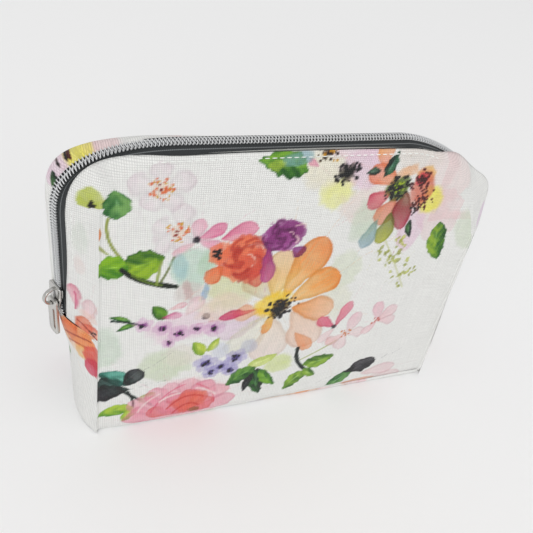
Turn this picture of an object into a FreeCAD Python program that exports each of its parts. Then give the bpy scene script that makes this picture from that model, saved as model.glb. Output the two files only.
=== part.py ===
import FreeCAD, Part
import Sketcher
import math
import os

"""Zip-top makeup bag: a boxy fabric pouch that stands on its base.

Frame: +Z up, +X along the bag's length, -Y towards its front panel. The origin is the
centre of the base, on the surface that the bag stands on. Everything is in millimetres.

The bag is a soft box whose front and back panels lean towards each other, so that only a
narrow strip, the zip, is left along the ridge. The zip starts half way up the left side,
runs up, over the top and down the right side. The front panel folds forward about a line
across it, between the two zip ends, when the zip is open.
"""

SHEET_VALUES = [
    ("base_depth", 51.4),
    ("bag_height", 147.0),
    ("ridge_top", 146.0),
    ("top_depth", 19.2),
    ("panel_foot", 91.0),
    ("panel_waist", 89.5),
    ("panel_shoulder", 88.0),
    ("panel_corner", 30.0),
    ("rear_foot", 91.0),
    ("rear_waist", 94.0),
    ("rear_shoulder", 99.0),
    ("rear_corner", 26.0),
    ("ridge_foot", 93.0),
    ("leg_front", 101.0),
    ("leg_rear", 105.0),
    ("ridge_corner", 28.0),
    ("right_slack", 20.0),
    ("ridge_half", 4.0),
    ("zip_start", 62.0),
    ("fold_height", 85.0),
    ("fold_gap", 0.3),
    ("piece_gap", 0.1),
    ("canvas_thick", 1.0),
    ("foam_thick", 1.2),
    ("lining_thick", 0.5),
    ("board_thick", 1.2),
    ("tape_half", 8.4),
    ("tape_depth", 0.3),
    ("tape_thick", 0.55),
    ("tape_split", 0.8),
    ("coil_split", 0.7),
    ("coil_edge", 2.9),
    ("coil_rise", 0.7),
    ("stop_length", 2.3),
    ("stop_width", 6.2),
    ("stop_thick", 1.0),
    ("stop_sink", 0.1),
    ("slider_middle", 72.5),
    ("slider_length", 12.0),
    ("slider_width", 8.4),
    ("slider_tail", 6.0),
    ("slider_gap", 1.0),
    ("plate_thick", 1.1),
    ("keeper_gap", 1.2),
    ("keeper_thick", 0.9),
    ("flange_thick", 0.6),
    ("weld", 0.2),
    ("flange_clear", 0.1),
    ("divider_width", 0.8),
    ("divider_length", 3.2),
    ("crown_radius", 4.3),
    ("crown_bar", 1.1),
    ("crown_width", 1.6),
    ("crown_lift", 1.05),
    ("spring_thick", 0.25),
    ("spring_length", 5.2),
    ("spring_width", 1.1),
    ("tab_width", 6.4),
    ("tab_thick", 1.2),
    ("tab_rim", 1.2),
    ("tab_length", 21.3),
    ("eye_width", 2.6),
    ("eye_clear", 0.3),
    ("slot_width", 1.5),
    ("slot_shift", 1.0),
    ("slot_start", 7.0),
    ("slot_end", 20.0),
]

doc = FreeCAD.newDocument("MakeupBag")
sheet = doc.addObject("Spreadsheet::Sheet", "Sizes")
for row, (alias, number) in enumerate(SHEET_VALUES, start=1):
    sheet.set("A%d" % row, alias)
    sheet.set("B%d" % row, str(number))
    sheet.setAlias("B%d" % row, alias)
doc.recompute()

FAR = 400.0
subparts = []


def size(alias):
    """The value of one sheet cell."""
    return float(sheet.get(alias))


def keep(obj, label, placement=None):
    """Register an object as a sub-part under the name of its file."""
    obj.Label = label
    if placement is not None:
        obj.Placement = placement
    subparts.append(obj)
    return obj


def keep_shape(shape, label):
    """Add a shape made in code as a sub-part in the bag's own frame."""
    obj = doc.addObject("Part::Feature", label)
    obj.Shape = shape
    obj.Placement = FreeCAD.Placement()
    return keep(obj, label)


# ---------------------------------------------------------------- the soft box

HALF_BASE = size("base_depth") / 2
QUARTER_BEND = 1 - math.sqrt(0.5)
LEAN = (HALF_BASE - size("top_depth") / 2) / size("bag_height")


def front_y(z, inset=0.0):
    """Y of the leaning front plane at height z, moved inwards by inset."""
    return -(HALF_BASE - LEAN * z) + inset


def outline(inset, place, foot, waist, shoulder, top, corner):
    """Closed outline of the bag in one cross plane: flat foot, two legs, rounded top.

    place(x, z) gives the 3-D point of a plane, so that the front and back outlines lie in
    leaning planes and the two ridge outlines in upright ones. The right shoulder sags, so
    its corner is rounder than the left one.
    """
    foot_x = foot - inset
    waist_x = waist - inset
    leg_x = shoulder - inset
    top_z = top - inset
    waist_z = size("zip_start")
    left_radius = corner - inset
    right_radius = left_radius + size("right_slack")
    left_rise = top_z - left_radius
    right_rise = top_z - right_radius
    left_bend = left_radius * QUARTER_BEND
    right_bend = right_radius * QUARTER_BEND
    foot_left = place(-foot_x, inset)
    waist_left = place(-waist_x, waist_z)
    leg_left = place(-leg_x, left_rise)
    bend_left = place(-leg_x + left_bend, top_z - left_bend)
    top_left = place(-leg_x + left_radius, top_z)
    top_right = place(leg_x - right_radius, top_z)
    bend_right = place(leg_x - right_bend, top_z - right_bend)
    leg_right = place(leg_x, right_rise)
    waist_right = place(waist_x, waist_z)
    foot_right = place(foot_x, inset)
    return Part.Wire([
        Part.LineSegment(foot_left, waist_left).toShape(),
        Part.LineSegment(waist_left, leg_left).toShape(),
        Part.Arc(leg_left, bend_left, top_left).toShape(),
        Part.LineSegment(top_left, top_right).toShape(),
        Part.Arc(top_right, bend_right, leg_right).toShape(),
        Part.LineSegment(leg_right, waist_right).toShape(),
        Part.LineSegment(waist_right, foot_right).toShape(),
        Part.LineSegment(foot_right, foot_left).toShape(),
    ])


def envelope(inset):
    """The bag's outer solid, shrunk by inset on every side."""
    def on_front(x, z):
        return FreeCAD.Vector(x, front_y(z, inset), z)

    def on_back(x, z):
        return FreeCAD.Vector(x, -front_y(z, inset), z)

    def on_ridge_front(x, z):
        return FreeCAD.Vector(x, -size("ridge_half"), z)

    def on_ridge_rear(x, z):
        return FreeCAD.Vector(x, size("ridge_half"), z)

    leg_front = size("leg_front")
    leg_rear = size("leg_rear")
    corner = size("ridge_corner")
    wires = [
        outline(inset, on_front, size("panel_foot"), size("panel_waist"),
                size("panel_shoulder"), size("bag_height"), size("panel_corner")),
        outline(inset, on_ridge_front, size("ridge_foot"), leg_front, leg_front,
                size("ridge_top"), corner),
        outline(inset, on_ridge_rear, size("ridge_foot"), leg_rear, leg_rear,
                size("ridge_top"), corner),
        outline(inset, on_back, size("rear_foot"), size("rear_waist"),
                size("rear_shoulder"), size("bag_height"), size("rear_corner")),
    ]
    return Part.makeLoft(wires, True, True)


def layer(outer_inset, thickness):
    """A closed skin of the given thickness that starts outer_inset under the surface."""
    return envelope(outer_inset).cut(envelope(outer_inset + thickness))


def side_prism(points, x_low=-FAR, x_high=FAR):
    """A prism along X whose section is a list of (y, z) points."""
    corners = [FreeCAD.Vector(x_low, y, z) for y, z in points]
    face = Part.Face(Part.makePolygon(corners + corners[:1]))
    return face.extrude(FreeCAD.Vector(x_high - x_low, 0, 0))


def mirrored(points, sign):
    """The (y, z) points for the front (sign 1) or, mirrored, for the back (sign -1)."""
    return [(sign * y, z) for y, z in points]


def panel_region(depth, z_low, z_high):
    """Section that holds the front wall down to depth, and the side strips beside it.

    Below the zip's start it is the wall alone. Above, it reaches the zip tape's edge, and
    near the top it follows the wall again where the wall comes closer than that edge.
    """
    edge = -size("tape_half")
    start = size("zip_start") + size("piece_gap")
    points = [(-FAR, z_low)]
    if z_low < start:
        points += [(front_y(z_low, depth), z_low), (front_y(start, depth), start)]
        points.append((edge, start))
    else:
        points.append((edge, z_low))
    meet = (HALF_BASE - depth + edge) / LEAN
    if meet < z_high:
        points += [(edge, meet), (front_y(z_high, depth), z_high)]
    else:
        points.append((edge, z_high))
    points.append((-FAR, z_high))
    return points


def wall_region(depth, z_low, z_high):
    """Section that holds only the front wall, down to depth under its surface."""
    return [(-FAR, z_low), (front_y(z_low, depth), z_low),
            (front_y(z_high, depth), z_high), (-FAR, z_high)]


def band(y_low, y_high, z_low, z_high):
    """Rectangular section between two Y values and two heights."""
    return [(y_low, z_low), (y_high, z_low), (y_high, z_high), (y_low, z_high)]


FOLD = size("fold_height")
BELOW_FOLD = FOLD - size("fold_gap") / 2
ABOVE_FOLD = FOLD + size("fold_gap") / 2
OVER_TOP = size("bag_height") + 20.0
GAP = size("piece_gap")
CANVAS = size("canvas_thick")
FOAM_AT = CANVAS + GAP
LINING_AT = FOAM_AT + size("foam_thick") + GAP
LINING_END = LINING_AT + size("lining_thick")
BASE_TOP = CANVAS + GAP
BOARD_TOP = BASE_TOP + size("board_thick")

canvas = layer(0.0, CANVAS)
foam = layer(FOAM_AT, size("foam_thick"))
lining = layer(LINING_AT, size("lining_thick"))


def make_panels():
    """Outer canvas: the front panel in two halves, the back panel, base and side gussets."""
    lower = side_prism(panel_region(CANVAS, BASE_TOP, BELOW_FOLD))
    keep_shape(canvas.common(lower), "front_panel_lower")
    upper = side_prism(panel_region(CANVAS, ABOVE_FOLD, OVER_TOP))
    keep_shape(canvas.common(upper), "front_panel_upper")
    back = side_prism(mirrored(panel_region(CANVAS, BASE_TOP, OVER_TOP), -1))
    keep_shape(canvas.common(back), "back_panel")
    base = side_prism(band(-FAR, FAR, 0.0, CANVAS))
    keep_shape(canvas.common(base), "base_panel")
    inner = CANVAS + GAP
    gusset_top = size("zip_start")
    section = [(front_y(BASE_TOP, inner), BASE_TOP), (front_y(gusset_top, inner), gusset_top),
               (-front_y(gusset_top, inner), gusset_top), (-front_y(BASE_TOP, inner), BASE_TOP)]
    for side, x_low, x_high in (("left", -FAR, 0.0), ("right", 0.0, FAR)):
        keep_shape(canvas.common(side_prism(section, x_low, x_high)), side + "_side_gusset")


def make_padding():
    """Thin foam behind the front and back panels, and the stiff board in the base."""
    depth = FOAM_AT + size("foam_thick")
    low = BOARD_TOP + GAP
    lower = side_prism(wall_region(depth, low, BELOW_FOLD))
    keep_shape(foam.common(lower), "front_padding_lower")
    upper = side_prism(wall_region(depth, ABOVE_FOLD, OVER_TOP))
    keep_shape(foam.common(upper), "front_padding_upper")
    back = side_prism(mirrored(wall_region(depth, low, OVER_TOP), -1))
    keep_shape(foam.common(back), "back_padding")
    board = side_prism(band(-FAR, FAR, BASE_TOP, BOARD_TOP))
    keep_shape(envelope(FOAM_AT).common(board), "base_board")


def make_lining():
    """Dark inner lining, one sheet behind each outer piece."""
    low = BOARD_TOP + GAP
    floor_top = low + size("lining_thick")
    wall_low = floor_top + GAP
    lower = side_prism(panel_region(LINING_END, wall_low, BELOW_FOLD))
    keep_shape(lining.common(lower), "front_lining_lower")
    upper = side_prism(panel_region(LINING_END, ABOVE_FOLD, OVER_TOP))
    keep_shape(lining.common(upper), "front_lining_upper")
    back = side_prism(mirrored(panel_region(LINING_END, wall_low, OVER_TOP), -1))
    keep_shape(lining.common(back), "back_lining")
    floor = side_prism(band(-FAR, FAR, low, floor_top))
    keep_shape(envelope(LINING_AT).common(floor), "base_lining")
    inner = LINING_END + GAP
    top = size("zip_start")
    section = [(front_y(wall_low, inner), wall_low), (front_y(top, inner), top),
               (-front_y(top, inner), top), (-front_y(wall_low, inner), wall_low)]
    for side, x_low, x_high in (("left", -FAR, 0.0), ("right", 0.0, FAR)):
        keep_shape(lining.common(side_prism(section, x_low, x_high)), side + "_side_lining")


def make_zip():
    """Zip tapes and coils: the rear half is whole, the front half is cut at the fold."""
    tape = layer(size("tape_depth"), size("tape_thick"))
    rail_thick = size("coil_rise") + size("tape_depth") - GAP / 2
    rail = layer(-size("coil_rise"), rail_thick)
    edge = size("tape_half") - GAP
    tape_low = size("zip_start") + GAP
    coil_low = tape_low + size("stop_length") + 2 * GAP
    pieces = (("tape", tape, size("tape_split"), edge, tape_low),
              ("coil", rail, size("coil_split"), size("coil_edge"), coil_low))
    for name, skin, near, far, low in pieces:
        rear = side_prism(band(near, far, low, OVER_TOP))
        keep_shape(skin.common(rear), "rear_zip_" + name)
        front = side_prism(band(-far, -near, ABOVE_FOLD, OVER_TOP))
        keep_shape(skin.common(front), "front_zip_" + name)
        ends = side_prism(band(-far, -near, low, BELOW_FOLD))
        keep_shape(skin.common(ends), "front_zip_" + name + "_ends")


# ---------------------------------------------------------------- the slider

SLIDER_TURN = math.degrees(math.atan2(size("leg_rear") - size("leg_front"),
                                      2 * size("ridge_half")))
LEG_X = (size("leg_front") + size("leg_rear")) / 2


def leg_frame(side, z):
    """Placement on the zip's centre line at height z, on the left (-1) or right (1) leg.

    Its own +X axis points straight out of the bag, and Z runs along the zip.
    """
    angle = 180 + SLIDER_TURN if side < 0 else -SLIDER_TURN
    turn = FreeCAD.Rotation(FreeCAD.Vector(0, 0, 1), angle)
    return FreeCAD.Placement(FreeCAD.Vector(side * LEG_X, 0, z), turn)


def bound_box(name, length, width, height, corner):
    """A Part::Box whose sizes and low corner are expressions of the sheet's cells."""
    box = doc.addObject("Part::Box", name)
    box.setExpression("Length", length)
    box.setExpression("Width", width)
    box.setExpression("Height", height)
    for axis, expression in zip("xyz", corner):
        box.setExpression("Placement.Base." + axis, expression)
    return box


def bound_cylinder(name, radius, length, centre, across):
    """A Part::Cylinder, centred on a point, along the local Y axis or the local X axis."""
    cylinder = doc.addObject("Part::Cylinder", name)
    cylinder.setExpression("Radius", radius)
    cylinder.setExpression("Height", length)
    if across:
        cylinder.Placement.Rotation = FreeCAD.Rotation(FreeCAD.Vector(1, 0, 0), -90)
    else:
        cylinder.Placement.Rotation = FreeCAD.Rotation(FreeCAD.Vector(0, 1, 0), 90)
    for axis, expression in zip("xyz", centre):
        cylinder.setExpression("Placement.Base." + axis, expression)
    return cylinder


def cut(name, base, tool):
    """Part::Cut of two document objects."""
    result = doc.addObject("Part::Cut", name)
    result.Base = base
    result.Tool = tool
    return result


def fuse(name, shapes):
    """Part::MultiFuse of several document objects."""
    result = doc.addObject("Part::MultiFuse", name)
    result.Shapes = shapes
    return result


def origin_plane(body, role):
    """One of a body's own origin planes, found by its role."""
    return [item for item in body.Origin.OriginFeatures if item.Role == role][0]


def new_sketch(body, name, offset):
    """Sketch in the body's YZ plane, moved along X by the offset expression."""
    sketch = body.newObject("Sketcher::SketchObject", name)
    sketch.AttachmentSupport = [(origin_plane(body, "YZ_Plane"), "")]
    sketch.MapMode = "FlatFace"
    sketch.setExpression("AttachmentOffset.Base.z", offset)
    return sketch


def draw_ring(sketch, corners):
    """Closed ring of line segments through the corners, joined end to end."""
    count = len(corners)
    for index in range(count):
        start = FreeCAD.Vector(*corners[index], 0)
        end = FreeCAD.Vector(*corners[(index + 1) % count], 0)
        sketch.addGeometry(Part.LineSegment(start, end))
    for index in range(count):
        joint = Sketcher.Constraint("Coincident", index, 2, (index + 1) % count, 1)
        sketch.addConstraint(joint)


def bind(sketch, kind, first, second, value, expression):
    """Distance constraint between two (edge, end) points, bound to an expression."""
    constraint = Sketcher.Constraint(kind, *first, *second, value)
    index = sketch.addConstraint(constraint)
    sketch.setExpression("Constraints[%d]" % index, expression)


def plate_sketch(body, name, offset):
    """Six-sided slider plate outline: wide shoulders above, a narrower tail below."""
    sketch = new_sketch(body, name, offset)
    wide = size("slider_width")
    tail = size("slider_tail")
    half_long = size("slider_length") / 2
    draw_ring(sketch, [(-tail / 2, -half_long), (tail / 2, -half_long), (wide / 2, 0.0),
                       (wide / 2, half_long), (-wide / 2, half_long), (-wide / 2, 0.0)])
    for edge in (0, 3):
        sketch.addConstraint(Sketcher.Constraint("Symmetric", edge, 1, edge, 2, -2))
    for edge in (2, 4):
        sketch.addConstraint(Sketcher.Constraint("Vertical", edge))
    half_length = "Sizes.slider_length / 2"
    origin = (-1, 1)
    bind(sketch, "DistanceX", (0, 1), (0, 2), tail, "Sizes.slider_tail")
    bind(sketch, "DistanceX", (3, 2), (3, 1), wide, "Sizes.slider_width")
    bind(sketch, "DistanceY", (0, 1), origin, half_long, half_length)
    bind(sketch, "DistanceY", origin, (3, 1), half_long, half_length)
    bind(sketch, "DistanceY", (2, 1), (2, 2), half_long, half_length)
    bind(sketch, "DistanceY", (4, 2), (4, 1), half_long, half_length)
    return sketch


def bar_sketch(body, name, offset, low, width, height):
    """Rectangle whose low corner, width and height are expressions of the sheet's cells."""
    sketch = new_sketch(body, name, offset)
    draw_ring(sketch, [(-1.0, -1.0), (1.0, -1.0), (1.0, 1.0), (-1.0, 1.0)])
    for edge in (0, 2):
        sketch.addConstraint(Sketcher.Constraint("Horizontal", edge))
    for edge in (1, 3):
        sketch.addConstraint(Sketcher.Constraint("Vertical", edge))
    origin = (-1, 1)
    bind(sketch, "DistanceX", (0, 1), (0, 2), 2.0, width)
    bind(sketch, "DistanceY", (1, 1), (1, 2), 2.0, height)
    bind(sketch, "DistanceX", origin, (0, 1), -1.0, low[0])
    bind(sketch, "DistanceY", origin, (0, 1), -1.0, low[1])
    return sketch


def add_pad(body, name, sketch, length):
    """Pad of a sketch along its normal."""
    pad = body.newObject("PartDesign::Pad", name)
    pad.Profile = sketch
    pad.setExpression("Length", length)
    return pad


def make_bar(name, offset, low, width, height, thickness):
    """A body that is one rectangular pad, standing off the local YZ plane by the offset."""
    body = doc.addObject("PartDesign::Body", name)
    add_pad(body, name + "Pad", bar_sketch(body, name + "Outline", offset, low, width, height),
            thickness)
    return body


def make_slider():
    """Slider body: outer plate with two flanges, keeper plate, and the divider between."""
    body = doc.addObject("PartDesign::Body", "SliderBody")
    outer = plate_sketch(body, "OuterPlateOutline", "Sizes.slider_gap")
    add_pad(body, "OuterPlate", outer, "Sizes.plate_thick")
    flange_sides = (("Front", "Sizes.slider_width / 2 - Sizes.flange_thick"),
                    ("Rear", "-Sizes.slider_width / 2"))
    for name, low_y in flange_sides:
        rail = bar_sketch(body, name + "FlangeOutline", "Sizes.flange_clear", (low_y, "0"),
                          "Sizes.flange_thick", "Sizes.slider_length / 2")
        add_pad(body, name + "Flange", rail,
                "Sizes.slider_gap - Sizes.flange_clear + Sizes.weld")
    post = bar_sketch(body, "DividerOutline", "-Sizes.keeper_gap - Sizes.weld",
                      ("-Sizes.divider_width / 2", "-Sizes.slider_length / 2"),
                      "Sizes.divider_width", "Sizes.divider_length")
    add_pad(body, "Divider", post, "Sizes.keeper_gap + Sizes.slider_gap + 2 * Sizes.weld")
    keeper = plate_sketch(body, "KeeperOutline", "-Sizes.keeper_gap - Sizes.keeper_thick")
    add_pad(body, "Keeper", keeper, "Sizes.keeper_thick")
    return body


def make_crown():
    """Crown: a half ring over the slider's outer plate, with a short straight foot each end."""
    centre = ("Sizes.slider_gap + Sizes.plate_thick + Sizes.crown_lift",
              "-Sizes.crown_width / 2", "0")
    ring = bound_cylinder("CrownRing", "Sizes.crown_radius", "Sizes.crown_width", centre, True)
    sheared = bound_box("CrownBelow", "2 * Sizes.crown_radius", "3 * Sizes.crown_width",
                        "3 * Sizes.crown_radius",
                        ("Sizes.slider_gap + Sizes.plate_thick + Sizes.crown_lift"
                         " - 2 * Sizes.crown_radius", "-1.5 * Sizes.crown_width",
                         "-1.5 * Sizes.crown_radius"))
    half = cut("CrownHalf", ring, sheared)
    foot = bound_box("CrownFoot", "Sizes.crown_lift", "Sizes.crown_width",
                     "2 * Sizes.crown_radius",
                     ("Sizes.slider_gap + Sizes.plate_thick", "-Sizes.crown_width / 2",
                      "-Sizes.crown_radius"))
    block = fuse("CrownBlock", [half, foot])
    bore = bound_cylinder("CrownBore", "Sizes.crown_radius - Sizes.crown_bar",
                          "3 * Sizes.crown_width",
                          (centre[0], "-1.5 * Sizes.crown_width", "0"), True)
    gate = bound_box("CrownGate", "Sizes.crown_lift + 1", "3 * Sizes.crown_width",
                     "2 * (Sizes.crown_radius - Sizes.crown_bar)",
                     ("Sizes.slider_gap + Sizes.plate_thick - 1",
                      "-1.5 * Sizes.crown_width", "-Sizes.crown_radius + Sizes.crown_bar"))
    window = fuse("CrownWindow", [bore, gate])
    return cut("Crown", block, window)


def make_spring():
    """Leaf of the slider's lock, flat on the outer plate under the crown."""
    return make_bar("LockSpring", "Sizes.slider_gap + Sizes.plate_thick",
                    ("-Sizes.spring_width / 2", "-Sizes.spring_length / 2"),
                    "Sizes.spring_width", "Sizes.spring_length", "Sizes.spring_thick")


def make_tab():
    """Pull tab: a flat bar with round ends that hangs from the crown by its eye.

    Its own frame starts at the crown's centre, with Z along the tab. The eye's bar passes
    inside the crown, so the tab turns about that centre clear of the ring.
    """
    inner = "(Sizes.crown_radius - Sizes.crown_bar - Sizes.eye_clear)"
    outer = "(Sizes.crown_radius + Sizes.eye_clear)"
    top = inner + " - Sizes.tab_rim"
    half = "Sizes.tab_width / 2"
    back = "-Sizes.tab_thick / 2"
    strap = bound_box("TabStrap", "Sizes.tab_thick", "Sizes.tab_width",
                      "Sizes.tab_length - Sizes.tab_width",
                      (back, "-" + half, "-(" + top + ") - Sizes.tab_length + " + half))
    head = bound_cylinder("TabHead", half, "Sizes.tab_thick",
                          (back, "0", "-(" + top + ") - " + half), False)
    tip = bound_cylinder("TabTip", half, "Sizes.tab_thick",
                         (back, "0", "-(" + top + ") - Sizes.tab_length + " + half), False)
    blank = fuse("TabBlank", [strap, head, tip])
    eye = bound_box("TabEye", "3 * Sizes.tab_thick", "Sizes.eye_width", outer + " - " + inner,
                    ("-1.5 * Sizes.tab_thick", "-Sizes.eye_width / 2", "-" + outer))
    slot_half = "Sizes.slot_width / 2"
    slot = bound_box("TabSlot", "3 * Sizes.tab_thick", "Sizes.slot_width",
                     "Sizes.slot_end - Sizes.slot_start",
                     ("-1.5 * Sizes.tab_thick", "Sizes.slot_shift - " + slot_half,
                      "-Sizes.slot_end"))
    ends = []
    for name, depth in (("High", "Sizes.slot_start"), ("Low", "Sizes.slot_end")):
        ends.append(bound_cylinder("TabSlot" + name, slot_half, "3 * Sizes.tab_thick",
                                   ("-1.5 * Sizes.tab_thick", "Sizes.slot_shift",
                                    "-" + depth), False))
    holes = fuse("TabHoles", [eye, slot] + ends)
    return cut("PullTab", blank, holes)


def make_stop(name):
    """Metal clip across both coils at one end of the zip."""
    return make_bar(name, "-Sizes.stop_sink", ("-Sizes.stop_width / 2", "0"),
                    "Sizes.stop_width", "Sizes.stop_length", "Sizes.stop_thick")


def make_hardware():
    """The zip's stops, and the slider with its crown, lock spring and pull tab."""
    stop_z = size("zip_start") + 2 * GAP
    keep(make_stop("LeftStop"), "left_zip_stop", leg_frame(-1, stop_z))
    keep(make_stop("RightStop"), "right_zip_stop", leg_frame(1, stop_z))
    slider_place = leg_frame(-1, size("slider_middle"))
    keep(make_slider(), "slider_body", slider_place)
    keep(make_crown(), "slider_crown", slider_place)
    keep(make_spring(), "slider_lock_spring", slider_place)
    pivot = FreeCAD.Vector(size("slider_gap") + size("plate_thick") + size("crown_lift"), 0, 0)
    tab_place = slider_place.multiply(FreeCAD.Placement(pivot, FreeCAD.Rotation()))
    keep(make_tab(), "pull_tab", tab_place)
    print("pull tab pivot", tab_place.Base)


def check_document():
    """Stop if any object failed to build, or a sub-part is not one valid closed shape."""
    for obj in doc.Objects:
        if any(word in obj.State for word in ("Invalid", "Error")):
            raise RuntimeError("%s did not build: %s" % (obj.Label, obj.State))
    for obj in subparts:
        shape = obj.Shape
        if shape.isNull() or not shape.isValid() or shape.Volume <= 0:
            raise RuntimeError("%s has no valid solid" % obj.Label)


def write_parts():
    """Write every sub-part to its own STEP file."""
    os.makedirs("parts", exist_ok=True)
    for obj in subparts:
        obj.Shape.exportStep("parts/%s.step" % obj.Label)
        box = obj.Shape.BoundBox
        print("%-24s %2d solid(s) %10.1f mm3  x %7.2f %7.2f  y %6.2f %6.2f  z %6.2f %6.2f" % (
            obj.Label, len(obj.Shape.Solids), obj.Shape.Volume,
            box.XMin, box.XMax, box.YMin, box.YMax, box.ZMin, box.ZMax))


make_panels()
make_padding()
make_lining()
make_zip()
make_hardware()
doc.recompute()
check_document()
write_parts()
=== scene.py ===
"""Looks of a zip-top makeup bag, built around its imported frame.

The bag is a soft white canvas box with a watercolour flower print, a dark zip tape with a
silver coil that runs from one side over the top to the other, and a nickel slider whose
pull tab hangs at the left. Lengths inside the classes are millimetres; a mesh is scaled to
metres once, when it becomes an object.
"""
import logging
import math
from dataclasses import dataclass, replace
from enum import Enum
from typing import Sequence

import bmesh
import bpy
import numpy as np
from mathutils import Matrix, Vector


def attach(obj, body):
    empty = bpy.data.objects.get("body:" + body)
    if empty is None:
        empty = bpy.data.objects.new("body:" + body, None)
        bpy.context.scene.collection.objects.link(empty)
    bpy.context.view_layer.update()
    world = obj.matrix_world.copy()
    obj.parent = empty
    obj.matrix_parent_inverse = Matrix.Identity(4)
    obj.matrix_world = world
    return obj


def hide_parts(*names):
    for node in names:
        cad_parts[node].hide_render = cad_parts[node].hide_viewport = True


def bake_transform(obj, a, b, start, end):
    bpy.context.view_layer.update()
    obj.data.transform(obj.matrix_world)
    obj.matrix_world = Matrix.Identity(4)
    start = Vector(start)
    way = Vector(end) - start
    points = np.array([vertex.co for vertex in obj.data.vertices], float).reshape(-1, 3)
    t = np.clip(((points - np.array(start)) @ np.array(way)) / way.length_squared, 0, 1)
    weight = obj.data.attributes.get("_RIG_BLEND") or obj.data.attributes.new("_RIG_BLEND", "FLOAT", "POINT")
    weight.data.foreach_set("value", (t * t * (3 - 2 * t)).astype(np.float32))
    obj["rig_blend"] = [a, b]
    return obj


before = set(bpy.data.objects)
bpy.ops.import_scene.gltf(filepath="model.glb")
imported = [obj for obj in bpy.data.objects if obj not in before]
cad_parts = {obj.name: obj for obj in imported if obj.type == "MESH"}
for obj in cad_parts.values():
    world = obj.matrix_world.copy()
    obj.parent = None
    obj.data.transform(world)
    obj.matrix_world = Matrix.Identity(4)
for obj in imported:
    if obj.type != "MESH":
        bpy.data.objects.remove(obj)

LOG = logging.getLogger("makeup_bag")
MM = 0.001
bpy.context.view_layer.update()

Array = np.ndarray
Rgb = tuple[float, float, float]


class Side(Enum):
    """Which half of the bag a piece belongs to."""

    FRONT = -1
    BACK = 1


# ------------------------------------------------------------------ small helpers


def smooth_step(value: Array, low: float, high: float) -> Array:
    """Ease from 0 at low to 1 at high.

    Args:
        value: Where the ease is read.
        low: Value that gives 0.
        high: Value that gives 1.

    Returns:
        The eased share, from 0 to 1.
    """
    share = np.clip((np.asarray(value, float) - low) / (high - low), 0.0, 1.0)
    return share * share * (3.0 - 2.0 * share)


def linear_rgb(colour: Rgb | Array) -> Array:
    """Scene-linear form of one or many colours given in 0 to 255 display values."""
    display = np.array(colour, float) / 255.0
    return np.where(display <= 0.04045, display / 12.92, ((display + 0.055) / 1.055) ** 2.4)


class Ripple:
    """Smooth two-dimensional value noise that is the same on every run."""

    CELLS = 64

    def __init__(self, seed: int) -> None:
        """Fill the lattice from a seed."""
        self.lattice = np.random.RandomState(seed).uniform(-1.0, 1.0, (self.CELLS, self.CELLS))

    def at(self, across: Array, along: Array) -> Array:
        """Noise from -1 to 1.

        Args:
            across: First coordinate, in lattice cells.
            along: Second coordinate, in lattice cells.

        Returns:
            The noise at each point.
        """
        cell_a = np.floor(across).astype(int)
        cell_b = np.floor(along).astype(int)
        share_a = smooth_step(across - cell_a, 0.0, 1.0)
        share_b = smooth_step(along - cell_b, 0.0, 1.0)
        low_a, high_a = cell_a % self.CELLS, (cell_a + 1) % self.CELLS
        low_b, high_b = cell_b % self.CELLS, (cell_b + 1) % self.CELLS
        near = self.lattice[low_a, low_b] * (1 - share_a) + self.lattice[high_a, low_b] * share_a
        far = self.lattice[low_a, high_b] * (1 - share_a) + self.lattice[high_a, high_b] * share_a
        return near * (1 - share_b) + far * share_b

    def layered(self, across: Array, along: Array, octaves: int = 3) -> Array:
        """Sum of octaves, each at twice the detail and half the strength of the last."""
        total = np.zeros(np.shape(across))
        strength, detail = 1.0, 1.0
        for _ in range(octaves):
            total = total + strength * self.at(across * detail + 7.3 * detail, along * detail)
            strength *= 0.5
            detail *= 2.0
        return total


def read_points(bm: bmesh.types.BMesh) -> Array:
    """All vertex positions of a bmesh as an (n, 3) array."""
    return np.array([vert.co[:] for vert in bm.verts], float).reshape(-1, 3)


def write_points(bm: bmesh.types.BMesh, points: Array) -> None:
    """Put every vertex of a bmesh at the given point."""
    for vert, point in zip(bm.verts, points):
        vert.co = Vector(point)


def grid_bmesh(columns: Sequence[float], rows: Sequence[float]) -> bmesh.types.BMesh:
    """A flat grid whose vertices lie at every column value (X) and row value (Y).

    Args:
        columns: X of each column of vertices.
        rows: Y of each row of vertices.

    Returns:
        The new mesh.
    """
    bm = bmesh.new()
    bmesh.ops.create_grid(bm, x_segments=len(columns) - 1, y_segments=len(rows) - 1, size=1.0)
    points = read_points(bm)
    column_at = (points[:, 0] + 1.0) / 2.0 * (len(columns) - 1)
    row_at = (points[:, 1] + 1.0) / 2.0 * (len(rows) - 1)
    points[:, 0] = np.interp(column_at, np.arange(len(columns)), columns)
    points[:, 1] = np.interp(row_at, np.arange(len(rows)), rows)
    write_points(bm, points)
    return bm


def spaced(marks: Sequence[float], step: float) -> list[float]:
    """Values from the first mark to the last, at most a step apart, that hit every mark.

    Args:
        marks: Values that must be kept, in rising order.
        step: Largest step between two values.

    Returns:
        All the values.
    """
    values = [float(marks[0])]
    for low, high in zip(marks[:-1], marks[1:]):
        count = max(1, math.ceil((high - low) / step))
        values += [low + (high - low) * (index + 1) / count for index in range(count)]
    return values


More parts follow.
